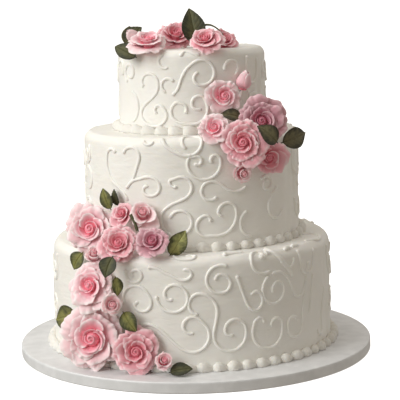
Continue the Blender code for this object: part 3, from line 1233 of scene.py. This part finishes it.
class Petals:
    """Bends rolled-out petals into shape and joins them into one flower."""

    columns = 20
    rows = 8

    def __init__(self, seat: Seat, seed: str, pull: tuple[float, float]) -> None:
        """Start a flower.

        Args:
            seat: Where it sits.
            seed: What its chances start from.
            pull: A direction in degrees, 0 to its right and 90 up, and how much longer the
                outer petals are on that side.
        """
        self.seat = seat
        self.dice = random.Random(seed)
        self.pull = pull
        self.parts: list[bpy.types.Object] = []

    def _blank(self, columns: int, rows: int) -> tuple[bpy.types.Object, np.ndarray, np.ndarray]:
        """Roll out a flat petal; return it with each point's place across and along."""
        sheet = start_with(
            bpy.ops.mesh.primitive_grid_add, x_subdivisions=columns, y_subdivisions=rows, size=2.0
        )
        flat = points_of(sheet.data)
        return sheet, flat[:, 0], (flat[:, 1] + 1) / 2

    def _keep(self, sheet: bpy.types.Object, local: np.ndarray, age: float,
              thick: np.ndarray) -> None:
        """Put a petal on the seat, and mark its age and how thick the paste is."""
        set_points(sheet.data, self.seat.carry(local))
        mark = sheet.data.attributes.new("age", "FLOAT", "POINT")
        mark.data.foreach_set("value", np.full(len(local), age))
        group = sheet.vertex_groups.new(name="thick")
        for index, weight in enumerate(thick):
            group.add([index], float(weight), "REPLACE")
        self.parts.append(sheet)

    def add_core(self, width: float, top: float) -> None:
        """Add the cone that the heart is wound on.

        Args:
            width: Its radius, as a share of the reach.
            top: Its height, as a share of the depth.
        """
        sheet, across, along = self._blank(14, 6)
        turns = math.pi * (across + 1)
        skirt = 1 + 0.5 * (1 - along) ** 4
        spokes = self.seat.reach * width * skirt * np.cos(0.5 * math.pi * along**1.5)
        heights = self.seat.depth * (0.02 + (top - 0.02) * np.sin(0.5 * math.pi * along**0.7))
        local = np.stack((spokes * np.cos(turns), spokes * np.sin(turns), heights), axis=1)
        self._keep(sheet, local, 0.10, np.full(len(local), 0.5))

    def add_swirl(self, inner: float, outer: float, turns: float, top: float) -> None:
        """Wind the heart: one strip rolled up, standing on end.

        Args:
            inner: Its inner radius, as a share of the reach.
            outer: Its outer radius.
            turns: How many times it goes round.
            top: Height of its rim, as a share of the depth.
        """
        reach, depth = self.seat.reach, self.seat.depth
        sheet, across, along = self._blank(int(20 * turns), 5)
        share = (across + 1) / 2
        flare = 0.04 * share**2 * along**4
        spokes = reach * (inner + (outer - inner) * share**0.8 + flare)
        rim = top - 0.07 * share - 0.02 * self._ripple(across, 6)
        heights = depth * (0.45 + (rim - 0.45) * along)
        turn = self.dice.uniform(0, 2 * math.pi) - 2 * math.pi * turns * share
        local = np.stack((spokes * np.cos(turn), spokes * np.sin(turn), heights), axis=1)
        self._keep(sheet, local, 0.14, 0.75 + 0.25 * along)

    def add_whorl(self, whorl: Whorl, start: float) -> None:
        """Add a ring of petals, each a little unlike the next.

        Args:
            whorl: The ring's shape.
            start: Where its first petal stands, in degrees.
        """
        shift = self.seat.reach * 0.045 * np.array([self.dice.uniform(-1, 1) for _ in range(2)])
        for index in range(whorl.petals):
            middle = start + 360 * index / whorl.petals + self.dice.uniform(-12, 12)
            rank = (2 * index) % whorl.petals / (whorl.petals - 1) - 0.5
            grown = replace(
                whorl,
                reach=whorl.reach * (1 + 0.22 * rank * (1 - 0.8 * whorl.age**3)),
                lift=whorl.lift - 0.05 * rank,
            )
            self._add_petal(grown, math.radians(middle), shift)

    def _ripple(self, across: np.ndarray, knots: int) -> np.ndarray:
        """Return a wandering value along a rim, between about -1 and 1.

        Args:
            across: Each point's place across the petal, from -1 to 1.
            knots: How often it changes.

        Returns:
            The value at each point.
        """
        values = np.array([self.dice.uniform(-1, 1) for _ in range(knots + 3)])
        place = (across + 1) / 2 * knots
        first = np.clip(np.floor(place).astype(int), 0, knots)
        share = place - first
        eased = share * share * (3 - 2 * share)
        return values[first] * (1 - eased) + values[first + 1] * eased

    def _add_petal(self, whorl: Whorl, middle: float, shift: np.ndarray) -> None:
        """Bend one petal."""
        reach, depth, dice = self.seat.reach, self.seat.depth, self.dice
        loose = whorl.age**1.5
        sheet, across, along = self._blank(round(self.columns * (1 + 0.4 * loose)), self.rows)
        far = whorl.reach * (1 + loose * dice.uniform(-0.05, 0.08))
        lift = whorl.lift + loose * dice.uniform(-0.11, 0.09)
        lean = math.radians(whorl.lean + loose * dice.uniform(-20, 18))
        drop = 0.12 + 0.14 * loose
        length = along * (1 - drop * np.abs(across) ** 3.2)
        torn = self._ripple(across, 7) + 0.8 * self._ripple(across, 17)
        length = length * (1 + (0.15 + loose) * 0.036 * along**3 * torn)
        low = (0.30 - 0.22 * whorl.age) * depth
        spokes, heights = self._sweep(
            (whorl.root * reach, low), (far * reach, lift * depth), math.radians(whorl.rise),
            lean, length,
        )
        rolled = np.clip((length - 0.76) / 0.24, 0, 1) ** 2
        spokes = spokes + reach * whorl.curl * rolled * 0.55
        heights = heights - reach * whorl.curl * rolled * (0.45 + 0.9 * loose)
        wave = 0.9 * self._ripple(across, 3) + 0.8 * self._ripple(across, 7)
        frill = dice.uniform(0.4, 1.3) * self._ripple(across, 14) * length**6
        ruffle = reach * whorl.ruffle * (wave * length**3 + frill)
        heights = heights + ruffle
        tuck = 0.06 + 0.20 * (1 - whorl.age)
        spokes = spokes * (1 + tuck * across) + 0.4 * ruffle
        width = math.radians(whorl.spread * (1 + loose * dice.uniform(-0.10, 0.14)))
        turns = middle - width * across * np.minimum(1.0, 0.74 + 0.45 * along)
        towards = np.maximum(0.0, np.cos(turns - math.radians(self.pull[0])))
        spokes = spokes * (1 + self.pull[1] * towards * loose)
        local = np.stack((spokes * np.cos(turns), spokes * np.sin(turns), heights), axis=1)
        local[:, :2] += shift * along[:, None]
        rim = np.clip((along - 0.7) / 0.3, 0, 1)
        self._keep(sheet, local, whorl.age, 0.32 + 0.30 * rim**2)

    @staticmethod
    def _sweep(root: tuple[float, float], rim: tuple[float, float], rise: float, lean: float,
               length: np.ndarray) -> tuple[np.ndarray, np.ndarray]:
        """Sweep a petal's section from root to rim.

        Args:
            root: Distance and height where it starts.
            rim: Distance and height where it ends.
            rise: Its direction at the root, in radians.
            lean: Its direction at the rim, in radians.
            length: How far along each point is.

        Returns:
            Each point's distance from the axis and its height.
        """
        pull = 0.42 * math.dist(root, rim)
        leave = (root[0] + pull * math.cos(rise), root[1] + pull * math.sin(rise))
        meet = (rim[0] - pull * math.cos(lean), rim[1] - pull * math.sin(lean))
        weights = (
            (1 - length) ** 3,
            3 * length * (1 - length) ** 2,
            3 * length**2 * (1 - length),
            length**3,
        )
        stations = (root, leave, meet, rim)
        return tuple(sum(w * s[k] for w, s in zip(weights, stations)) for k in (0, 1))

    def finish(self, name: str, thickness: float) -> bpy.types.Object:
        """Join the petals, give them their thickness and round their edges.

        Args:
            name: The flower's name.
            thickness: How thick the paste is at its thickest.

        Returns:
            The flower.
        """
        flower = join(self.parts, name)
        solid = flower.modifiers.new("thickness", "SOLIDIFY")
        solid.thickness = thickness
        solid.offset = 0.0
        solid.vertex_group = "thick"
        soft = flower.modifiers.new("soft", "SUBSURF")
        soft.levels = 1
        soft.render_levels = 1
        settle(flower)
        smooth(flower, 75.0)
        return flower


@dataclass(frozen=True)
class Make:
    """What a flower is made of: its whorls, swirl (inner, outer, turns, top) and core."""

    whorls: tuple[Whorl, ...]
    swirl: tuple[float, float, float, float]
    core: tuple[float, float]


class Habit(Enum):
    """How far a flower has opened."""

    OPEN = Make(ROSE_WHORLS, (0.015, 0.16, 1.5, 1.00), (0.24, 0.88))
    SMALL = Make(SMALL_WHORLS, (0.02, 0.19, 1.45, 1.01), (0.27, 0.89))
    CUPPED = Make(CUPPED_WHORLS, (0.02, 0.18, 1.4, 0.98), (0.24, 0.86))
    OPENING = Make(OPENING_WHORLS, (0.05, 0.34, 1.5, 1.00), (0.36, 0.90))
    CLOSED = Make(CLOSED_WHORLS, (0.02, 0.14, 1.3, 0.95), (0.30, 0.88))


@dataclass
class SugarFlower:
    """A rose or bud of sugar paste, on a dab of icing or in a green cup."""

    node: str
    habit: Habit
    shade: Shade
    cup: bool = False
    pull: tuple[float, float] = (0.0, 0.0)
    nod: float = 0.0
    lift: float = 0.0
    grow: float = 1.0

    def build(self) -> None:
        """Model the flower, and what holds it, on its seat."""
        seat = Seat.of_flower(self.node).nodded(math.radians(self.nod))
        foot = seat.foot + seat.axis * self.lift
        seat = replace(seat, foot=foot, reach=seat.reach * self.grow)
        make = self.habit.value
        petals = Petals(seat, self.node, self.pull)
        petals.add_core(*make.core)
        petals.add_swirl(*make.swirl)
        start = petals.dice.uniform(0, 360)
        for index, whorl in enumerate(make.whorls):
            petals.add_whorl(whorl, start + 47.0 * index)
        thickness = min(1.7 * MM, max(0.9 * MM, 0.05 * seat.reach))
        flower = petals.finish(self.node + "_petals", thickness)
        mount(flower, self.shade.value, "petal", self.node)
        self._add_dab(seat)
        if self.cup:
            Calyx(self.node, seat).build()

    def _add_dab(self, seat: Seat) -> None:
        """Put the dab of icing that holds the flower behind it."""
        ball = start_with(bpy.ops.mesh.primitive_uv_sphere_add, segments=20, ring_count=12)
        place = points_of(ball.data)
        swell = 1 + 0.12 * np.sin(3 * place[:, 0] + 5 * place[:, 1])
        place[:, :2] *= (0.24 * seat.reach * swell)[:, None]
        place[:, 2] = place[:, 2] * 8 * MM - 8.5 * MM
        set_points(ball.data, seat.carry(place))
        smooth(ball, 80.0)
        join([ball], self.node + "_dab")
        mount(ball, PIPING, "icing")


@dataclass
class Stem:
    """A short green stem, bent through three places given in millimetres from its flower."""

    node: str
    start: tuple[float, float, float]
    middle: tuple[float, float, float]
    end: tuple[float, float, float]
    thick: float
    cuts: int = 14

    def build(self) -> None:
        """Model the stem from a cylinder, bend it and hang it on the frame."""
        rod = start_with(bpy.ops.mesh.primitive_cylinder_add, vertices=14, depth=2.0)
        bpy.ops.object.mode_set(mode="EDIT")
        for step in range(1, self.cuts):
            bpy.ops.mesh.select_all(action="SELECT")
            level = 2 * step / self.cuts - 1
            bpy.ops.mesh.bisect(plane_co=(0.0, 0.0, level), plane_no=(0.0, 0.0, 1.0))
        bpy.ops.object.mode_set(mode="OBJECT")
        place = points_of(rod.data)
        share = ((place[:, 2] + 1) / 2)[:, None]
        low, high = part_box(self.node)
        origin = np.array((low + high) / 2)
        start, middle, end = (
            origin + np.array(spot) * MM for spot in (self.start, self.middle, self.end)
        )
        pole = 2 * middle - (start + end) / 2
        line = (1 - share) ** 2 * start + 2 * share * (1 - share) * pole + share**2 * end
        heading = 2 * (1 - share) * (pole - start) + 2 * share * (end - pole)
        heading /= np.linalg.norm(heading, axis=1)[:, None]
        side = np.cross(heading, (0.0, 1.0, 0.0))
        side /= np.linalg.norm(side, axis=1)[:, None]
        front = np.cross(side, heading)
        girth = self.thick * (1.2 - 0.45 * share + 0.08 * np.sin(9 * share))
        set_points(rod.data, line + girth * (place[:, 0:1] * side + place[:, 1:2] * front))
        smooth(rod, 60.0)
        join([rod], self.node + "_stem")
        mount(rod, Green.DEEP.value, "leaf")


@dataclass
class Calyx:
    """The green cup of a bud, with five sepals laid up its sides."""

    node: str
    seat: Seat
    sepals: int = 5

    def build(self) -> None:
        """Model the cup and its sepals and join them."""
        seat = self.seat
        parts = [self._cup()]
        for index in range(self.sepals):
            parts.append(self._sepal(2 * math.pi * index / self.sepals + 0.4))
        green = join(parts, self.node + "_calyx")
        settle(green)
        smooth(green, 70.0)
        mount(green, Green.DEEP.value, "leaf")

    def _cup(self) -> bpy.types.Object:
        """Model the cup from a ball."""
        ball = start_with(bpy.ops.mesh.primitive_uv_sphere_add, segments=20, ring_count=12)
        place = points_of(ball.data)
        place[:, :2] *= 0.52 * self.seat.reach
        place[:, 2] = place[:, 2] * 0.2 * self.seat.depth + 0.06 * self.seat.depth
        set_points(ball.data, self.seat.carry(place))
        return ball

    def _sepal(self, middle: float) -> bpy.types.Object:
        """Model one sepal from a grid."""
        sheet = start_with(
            bpy.ops.mesh.primitive_grid_add, x_subdivisions=5, y_subdivisions=9, size=2.0
        )
        flat = points_of(sheet.data)
        across, along = flat[:, 0], (flat[:, 1] + 1) / 2
        reach, depth = self.seat.reach, self.seat.depth
        half = 0.40 * (1 - along) ** 0.7 * (0.7 + 0.8 * along)
        spokes = reach * (0.44 + 0.44 * np.sin(0.5 * math.pi * np.minimum(1, 1.3 * along)))
        spokes = spokes + 0.5 * MM - 0.4 * MM * np.abs(across)
        turns = middle + half * across
        heights = depth * (0.02 + 0.42 * along)
        local = np.stack((spokes * np.cos(turns), spokes * np.sin(turns), heights), axis=1)
        set_points(sheet.data, self.seat.carry(local))
        solid = sheet.modifiers.new("thickness", "SOLIDIFY")
        solid.thickness = 0.6 * MM
        settle(sheet)
        return sheet


# ----------------------------------------------------------------------- leaves


@dataclass
class SugarLeaf:
    """A leaf cut from green paste: pressed veins, a soft fold and a wired stalk."""

    node: str
    green: Green
    stalk: float = 2.0 * MM
    turn: float = 0.0
    shift: tuple[float, float, float] = (0.0, 0.0, 0.0)
    grow: float = 1.0
    point: float = 0.88
    columns: int = 25
    rows: int = 41
    thickness: float = 0.9 * MM

    def build(self) -> None:
        """Model the leaf from a grid, add its stalk and hang it on the frame."""
        seat = Seat.of_leaf(self.node).turned(math.radians(self.turn))
        seat = replace(
            seat,
            foot=seat.foot + Vector(self.shift) * MM,
            reach=seat.reach * self.grow,
            depth=seat.depth * self.grow,
        )
        dice = random.Random(self.node)
        sheet = start_with(
            bpy.ops.mesh.primitive_grid_add,
            x_subdivisions=self.columns - 1,
            y_subdivisions=self.rows - 1,
            size=2.0,
        )
        flat = points_of(sheet.data)
        side, share = flat[:, 0], (flat[:, 1] + 1) / 2
        set_points(sheet.data, seat.carry(self._bend(seat, side, share, dice)))
        solid = sheet.modifiers.new("thickness", "SOLIDIFY")
        solid.thickness = self.thickness
        solid.offset = 0.0
        settle(sheet)
        leaf = join([sheet, self._stalk(seat)], self.node + "_blade")
        smooth(leaf, 60.0)
        mount(leaf, self.green.value, "leaf", self.node)

    def _bend(self, seat: Seat, side: np.ndarray, share: np.ndarray,
              dice: random.Random) -> np.ndarray:
        """Draw a flat sheet to the leaf's outline, vein it and bend it.

        Args:
            seat: Where the leaf sits.
            side: Each point's place across, from -1 to 1.
            share: Each point's place along, from stalk to tip.
            dice: The leaf's own chances.

        Returns:
            The points in the seat's own directions.
        """
        width, length = seat.reach, seat.depth
        blunt = np.where(share < 0.42, 0.62, self.point)
        belly = np.sin(math.pi * np.clip(share, 0, 1) ** 0.8) ** blunt
        teeth = 0.025 * np.abs(np.sin(11 * math.pi * share)) * np.abs(side) ** 8
        half = width * (0.03 + 0.97 * belly) * (1 + teeth)
        veins = np.abs(np.sin(math.pi * 7 * (share - 0.30 * np.abs(side))))
        pressed = 0.30 * MM * np.exp(-((veins / 0.30) ** 2)) * np.minimum(1, 4 * np.abs(side))
        groove = 0.55 * MM * np.exp(-((side / 0.10) ** 2))
        arch = 0.10 * length * (1 - (2 * share - 1) ** 2)
        fold = 0.24 * half * np.abs(side)
        wave = 0.05 * width * np.sin(4.5 * share + dice.uniform(0, 6.3)) * side
        tip = dice.uniform(-0.05, 0.05) * length * np.clip(share - 0.6, 0, 1) ** 2 * 4
        heights = arch + fold + wave + tip - pressed - groove
        return np.stack((side * half, (share - 0.5) * length, heights), axis=1)

    def _stalk(self, seat: Seat) -> bpy.types.Object:
        """Model the wired stalk from a cylinder that thins away from the leaf."""
        rod = start_with(bpy.ops.mesh.primitive_cylinder_add, vertices=12, radius=1.0, depth=2.0)
        place = points_of(rod.data)
        share = (place[:, 2] + 1) / 2
        thick = (0.55 + 0.25 * share) * MM
        along = -0.5 * seat.depth - self.stalk + (self.stalk + 2 * MM) * share
        depth = -0.2 * self.stalk * (1 - share) ** 2 + 0.3 * MM
        local = np.stack((place[:, 0] * thick, along, place[:, 1] * thick + depth), axis=1)
        set_points(rod.data, seat.carry(local))
        return rod


# ------------------------------------------------------------------------ board


@dataclass
class DrumBoard:
    """The drum: thick board wrapped in embossed foil, with a band round its side."""

    node: str = "board"
    sides: int = 360
    edge: float = 1.3 * MM
    pleat: float = 0.12 * MM
    pleats: int = 180

    def build(self) -> None:
        """Model the board and its band and hang them on the frame."""
        low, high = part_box(self.node)
        radius = (high.x - low.x) / 2
        thick = high.z - low.z
        board = start_with(
            bpy.ops.mesh.primitive_cylinder_add,
            vertices=self.sides,
            radius=radius - 0.35 * MM,
            depth=thick,
            location=(0.0, 0.0, thick / 2),
        )
        settle(board)
        bpy.ops.object.mode_set(mode="EDIT")
        bpy.ops.mesh.select_mode(type="EDGE")
        shape = bmesh.from_edit_mesh(board.data)
        for edge in shape.edges:
            edge.select = abs(edge.verts[0].co.z - edge.verts[1].co.z) < 1e-5
        bmesh.update_edit_mesh(board.data)
        bpy.ops.mesh.bevel(offset=self.edge, segments=4, profile=0.5, affect="EDGES")
        for level in (low.z, high.z):
            self._rings(board, level, radius)
        bpy.ops.object.mode_set(mode="OBJECT")
        self._pleat(board, radius, high.z)
        smooth(board, 40.0)
        join([board], "board_foil")
        mount(board, FOIL, "foil", self.node)
        self._band(radius, thick)

    def _rings(self, board: bpy.types.Object, level: float, radius: float) -> None:
        """Divide a flat end of the board into rings."""
        bpy.ops.mesh.select_mode(type="FACE")
        bpy.ops.mesh.select_all(action="DESELECT")
        shape = bmesh.from_edit_mesh(board.data)
        for face in shape.faces:
            face.select = len(face.verts) > 4 and abs(face.calc_center_median().z - level) < 1e-4
        bmesh.update_edit_mesh(board.data)
        for thickness in (2 * MM, 3 * MM, 5 * MM, 8 * MM, 0.2 * radius):
            bpy.ops.mesh.inset(thickness=thickness)
        bpy.ops.mesh.poke()

    def _pleat(self, board: bpy.types.Object, radius: float, top: float) -> None:
        """Gather the foil into fine pleats where it turns over the rim."""
        for vertex in board.data.vertices:
            out = vertex.co.xy.length
            if out < radius - 6 * MM:
                continue
            angle = math.atan2(vertex.co.y, vertex.co.x)
            ripple = math.sin(self.pleats * angle) * (0.6 + 0.4 * noise.noise(vertex.co * 90))
            near = (out - radius + 6 * MM) / (6 * MM)
            if vertex.co.z > top - 2 * self.edge:
                vertex.co.z += self.pleat * ripple * near * 0.5
                vertex.co.xy *= 1 - self.pleat * abs(ripple) * near / out

    def _band(self, radius: float, thick: float) -> None:
        """Wrap the satin band round the board's side."""
        band = start_with(
            bpy.ops.mesh.primitive_cylinder_add,
            vertices=self.sides,
            radius=radius - 0.1 * MM,
            depth=thick - 3.2 * MM,
            end_fill_type="NOTHING",
            location=(0.0, 0.0, thick / 2 - 0.1 * MM),
        )
        settle(band)
        solid = band.modifiers.new("thickness", "SOLIDIFY")
        solid.thickness = 0.4 * MM
        solid.offset = -1.0
        settle(band)
        smooth(band, 40.0)
        join([band], "board_band")
        mount(band, BAND, "foil")


# ----------------------------------------------------------------------- studio


@dataclass
class Studio:
    """The view, the soft light and the white paper the cake stands on."""

    aim: tuple[float, float, float] = (8.2 * MM, 0.0, 172.0 * MM)
    distance: float = 1.654
    elevation: float = 8.75
    roll: float = 1.25
    lens: float = 128.8

    def build(self) -> None:
        """Set up the camera, the lights, the sky and the floor."""
        bpy.context.scene.view_settings.view_transform = "Standard"
        self._camera()
        self._light("key", (-1.9, -1.15, 1.35), 1.7, 49.0, (0.98, 1.0, 0.985))
        self._light("rim", (1.9, 1.3, 1.0), 1.2, 4.5, (1.0, 0.99, 0.98))
        self._light("top", (-0.3, 0.2, 2.4), 1.6, 14.0, (1.0, 0.99, 0.96))
        self._sky()
        self._floor()

    def _camera(self) -> None:
        """Place the camera and roll it a little."""
        tilt = math.radians(self.elevation)
        back = Vector((0.0, -math.cos(tilt), math.sin(tilt)))
        right, up = Vector((1.0, 0.0, 0.0)), Vector((0.0, math.sin(tilt), math.cos(tilt)))
        spin = math.radians(self.roll)
        level = right * math.cos(spin) - up * math.sin(spin)
        plumb = right * math.sin(spin) + up * math.cos(spin)
        data = bpy.data.cameras.new("camera")
        data.lens = self.lens
        data.sensor_width = 36.0
        camera = bpy.data.objects.new("camera", data)
        place = Vector(self.aim) + back * self.distance
        axes = Matrix((level, plumb, back)).transposed().to_4x4()
        camera.matrix_world = Matrix.Translation(place) @ axes
        bpy.context.scene.collection.objects.link(camera)
        bpy.context.scene.camera = camera

    def _light(self, name: str, place: tuple[float, float, float], size: float, power: float,
               colour: tuple[float, float, float]) -> None:
        """Hang a square soft light that looks at the cake."""
        data = bpy.data.lights.new(name, "AREA")
        data.size = size
        data.energy = power
        data.color = colour
        light = bpy.data.objects.new(name, data)
        light.location = place
        towards = Vector(self.aim) - Vector(place)
        light.rotation_euler = towards.to_track_quat("-Z", "Y").to_euler()
        bpy.context.scene.collection.objects.link(light)

    def _sky(self) -> None:
        """Fill the room with even, slightly warm light."""
        world = bpy.data.worlds.new("room")
        world.use_nodes = True
        background = world.node_tree.nodes["Background"]
        background.inputs["Color"].default_value = (1.0, 0.925, 0.81, 1.0)
        background.inputs["Strength"].default_value = 0.37
        bpy.context.scene.world = world

    def _floor(self) -> None:
        """Roll out the paper, which doesn't throw light back on the cake."""
        paper = start_with(bpy.ops.mesh.primitive_plane_add, size=200.0, location=(0, 0, -0.2 * MM))
        settle(paper)
        paper.name = "paper"
        Wardrobe.dress(paper, PAPER)
        paper.visible_diffuse = False
        paper.visible_glossy = False


# ------------------------------------------------------------------------- cake

FLOWERS = (
    SugarFlower("cascade_rose_1", Habit.OPEN, Shade.BLUSH, pull=(130, 0.15)),
    SugarFlower("cascade_rose_2", Habit.OPEN, Shade.ROSE, pull=(215, 0.12)),
    SugarFlower("cascade_rose_3", Habit.OPEN, Shade.BLUSH, pull=(275, 0.22)),
    SugarFlower("cascade_rose_4", Habit.OPEN, Shade.BLUSH),
    SugarFlower("cascade_rose_5", Habit.OPEN, Shade.ROSE, pull=(230, 0.05)),
    SugarFlower("cascade_rose_6", Habit.SMALL, Shade.SHADED_ROSE, pull=(330, 0.12), nod=10),
    SugarFlower("cascade_rose_7", Habit.SMALL, Shade.ROSE, pull=(240, 0.15)),
    SugarFlower("shoulder_rose_1", Habit.OPEN, Shade.SHADED_ROSE, pull=(50, 0.26)),
    SugarFlower("shoulder_rose_2", Habit.OPEN, Shade.ROSE, pull=(300, 0.06)),
    SugarFlower("shoulder_rose_3", Habit.SMALL, Shade.BLUSH, pull=(180, 0.08)),
    SugarFlower("shoulder_rose_4", Habit.SMALL, Shade.BLUSH, pull=(270, 0.10)),
    SugarFlower("shoulder_rose_5", Habit.SMALL, Shade.ROSE, pull=(345, 0.38)),
    SugarFlower("crown_rose_1", Habit.CUPPED, Shade.BLUSH, pull=(200, 0.12), nod=24),
    SugarFlower("crown_rose_2", Habit.CUPPED, Shade.ROSE, pull=(190, 0.20), nod=14),
    SugarFlower("crown_rose_3", Habit.CUPPED, Shade.ROSE, pull=(0, 0.15), nod=24),
    SugarFlower("crown_rose_4", Habit.CUPPED, Shade.ROSE, pull=(180, 0.15), lift=-3.5 * MM),
    SugarFlower("cascade_bud_1", Habit.OPENING, Shade.PALE, pull=(300, 0.75)),
    SugarFlower("cascade_bud_2", Habit.OPENING, Shade.PALE, lift=4 * MM),
    SugarFlower("cascade_bud_3", Habit.OPENING, Shade.BLUSH, cup=True, nod=-10, lift=2 * MM),
    SugarFlower("cascade_bud_4", Habit.OPENING, Shade.PALE, pull=(265, 0.50)),
    SugarFlower("shoulder_bud_1", Habit.OPENING, Shade.PALE, nod=20, lift=4 * MM),
    SugarFlower("shoulder_bud_2", Habit.CLOSED, Shade.BLUSH, grow=1.22),
    SugarFlower("crown_bud", Habit.CLOSED, Shade.PALE),
)

LEAVES = (
    SugarLeaf("crown_leaf_1", Green.DEEP),
    SugarLeaf("crown_leaf_2", Green.DEEP),
    SugarLeaf("crown_leaf_3", Green.DEEP, turn=-45.0),
    SugarLeaf("shoulder_leaf_1", Green.MOSS_LIT),
    SugarLeaf("shoulder_leaf_2", Green.MOSS_LIT, turn=88.0, shift=(-4.0, -3.0, -1.0), grow=1.10),
    SugarLeaf("shoulder_leaf_3", Green.MOSS_LIT, 9 * MM, -12.0, (-2.0, -1.0, 0.0), 1.10, 1.35),
    SugarLeaf("cascade_leaf_1", Green.FRESH),
    SugarLeaf("cascade_leaf_2", Green.DEEP),
    SugarLeaf("cascade_leaf_3", Green.LIT),
    SugarLeaf("cascade_leaf_4", Green.FRESH),
    SugarLeaf("cascade_leaf_5", Green.DEEP),
    SugarLeaf("cascade_leaf_6", Green.LIT),
    SugarLeaf("cascade_leaf_7", Green.FRESH, 9 * MM, shift=(3.0, -1.0, -1.0), grow=1.22),
    SugarLeaf("cascade_leaf_8", Green.FRESH),
    SugarLeaf("cascade_leaf_9", Green.DEEP),
)

STEMS = (
    Stem("cascade_bud_1", (-11.7, -4.2, -2.0), (-8.1, -6.2, -10.0), (-5.1, -8.2, -19.5), 1.9 * MM),
    Stem("crown_bud", (-9.3, -13.7, -5.6), (-12.4, -13.0, 4.5), (-4.0, -8.0, 12.0), 1.0 * MM),
    Stem("crown_rose_4", (-23.0, -12.2, 14.8), (-12.6, -15.2, 13.1), (-3.0, -20.2, 3.8), 1.0 * MM),
)


@dataclass
class WeddingCake:
    """The whole cake on its board."""

    def build(self) -> None:
        """Build the board, the tiers with their borders and scrolls, and the flowers."""
        DrumBoard().build()
        lower = Wall.of("tier_lower", 11 * MM, 2.0 * MM)
        middle = Wall.of("tier_middle", 10 * MM, 1.0 * MM)
        top = Wall.of("tier_top", 9 * MM, 0.6 * MM)
        for level, wall in (("lower", lower), ("middle", middle), ("top", top)):
            IcedTier("tier_" + level, wall).build()
            BeadBorder("border_" + level, wall, fill=0.42 if level == "top" else 0.15).build()
        lines = (
            ("lower", lower, LOWER_STROKES, (-90.0, 225.0), (318.0, 608.0), (238.0, 768.0)),
            ("middle", middle, MIDDLE_STROKES, (-110.0, 125.0), (247.0, 472.0), (140.0, 595.0)),
            ("top", top, TOP_STROKES, (-95.0, 95.0), (190.0, 374.0), (97.0, 430.0)),
        )
        for level, *rest in lines:
            Scrollwork("scrolls_" + level, *rest).build()
        Scrollwork("curls_lower", lower, LOWER_CURLS).build()
        Scrollwork("curls_middle", middle, MIDDLE_CURLS).build()
        Scrollwork("bold_lower", lower, BOLD_LOWER, bore=2.5 * MM).build()
        Scrollwork("bold_middle", middle, BOLD_MIDDLE, bore=2.3 * MM).build()
        for flower in FLOWERS:
            flower.build()
        for green in (*LEAVES, *STEMS):
            green.build()


def main() -> None:
    """Build the cake and the studio round it."""
    logging.basicConfig(level=logging.INFO, format="%(name)s: %(message)s")
    Studio().build()
    WeddingCake().build()


if __name__ == "__main__":
    main()
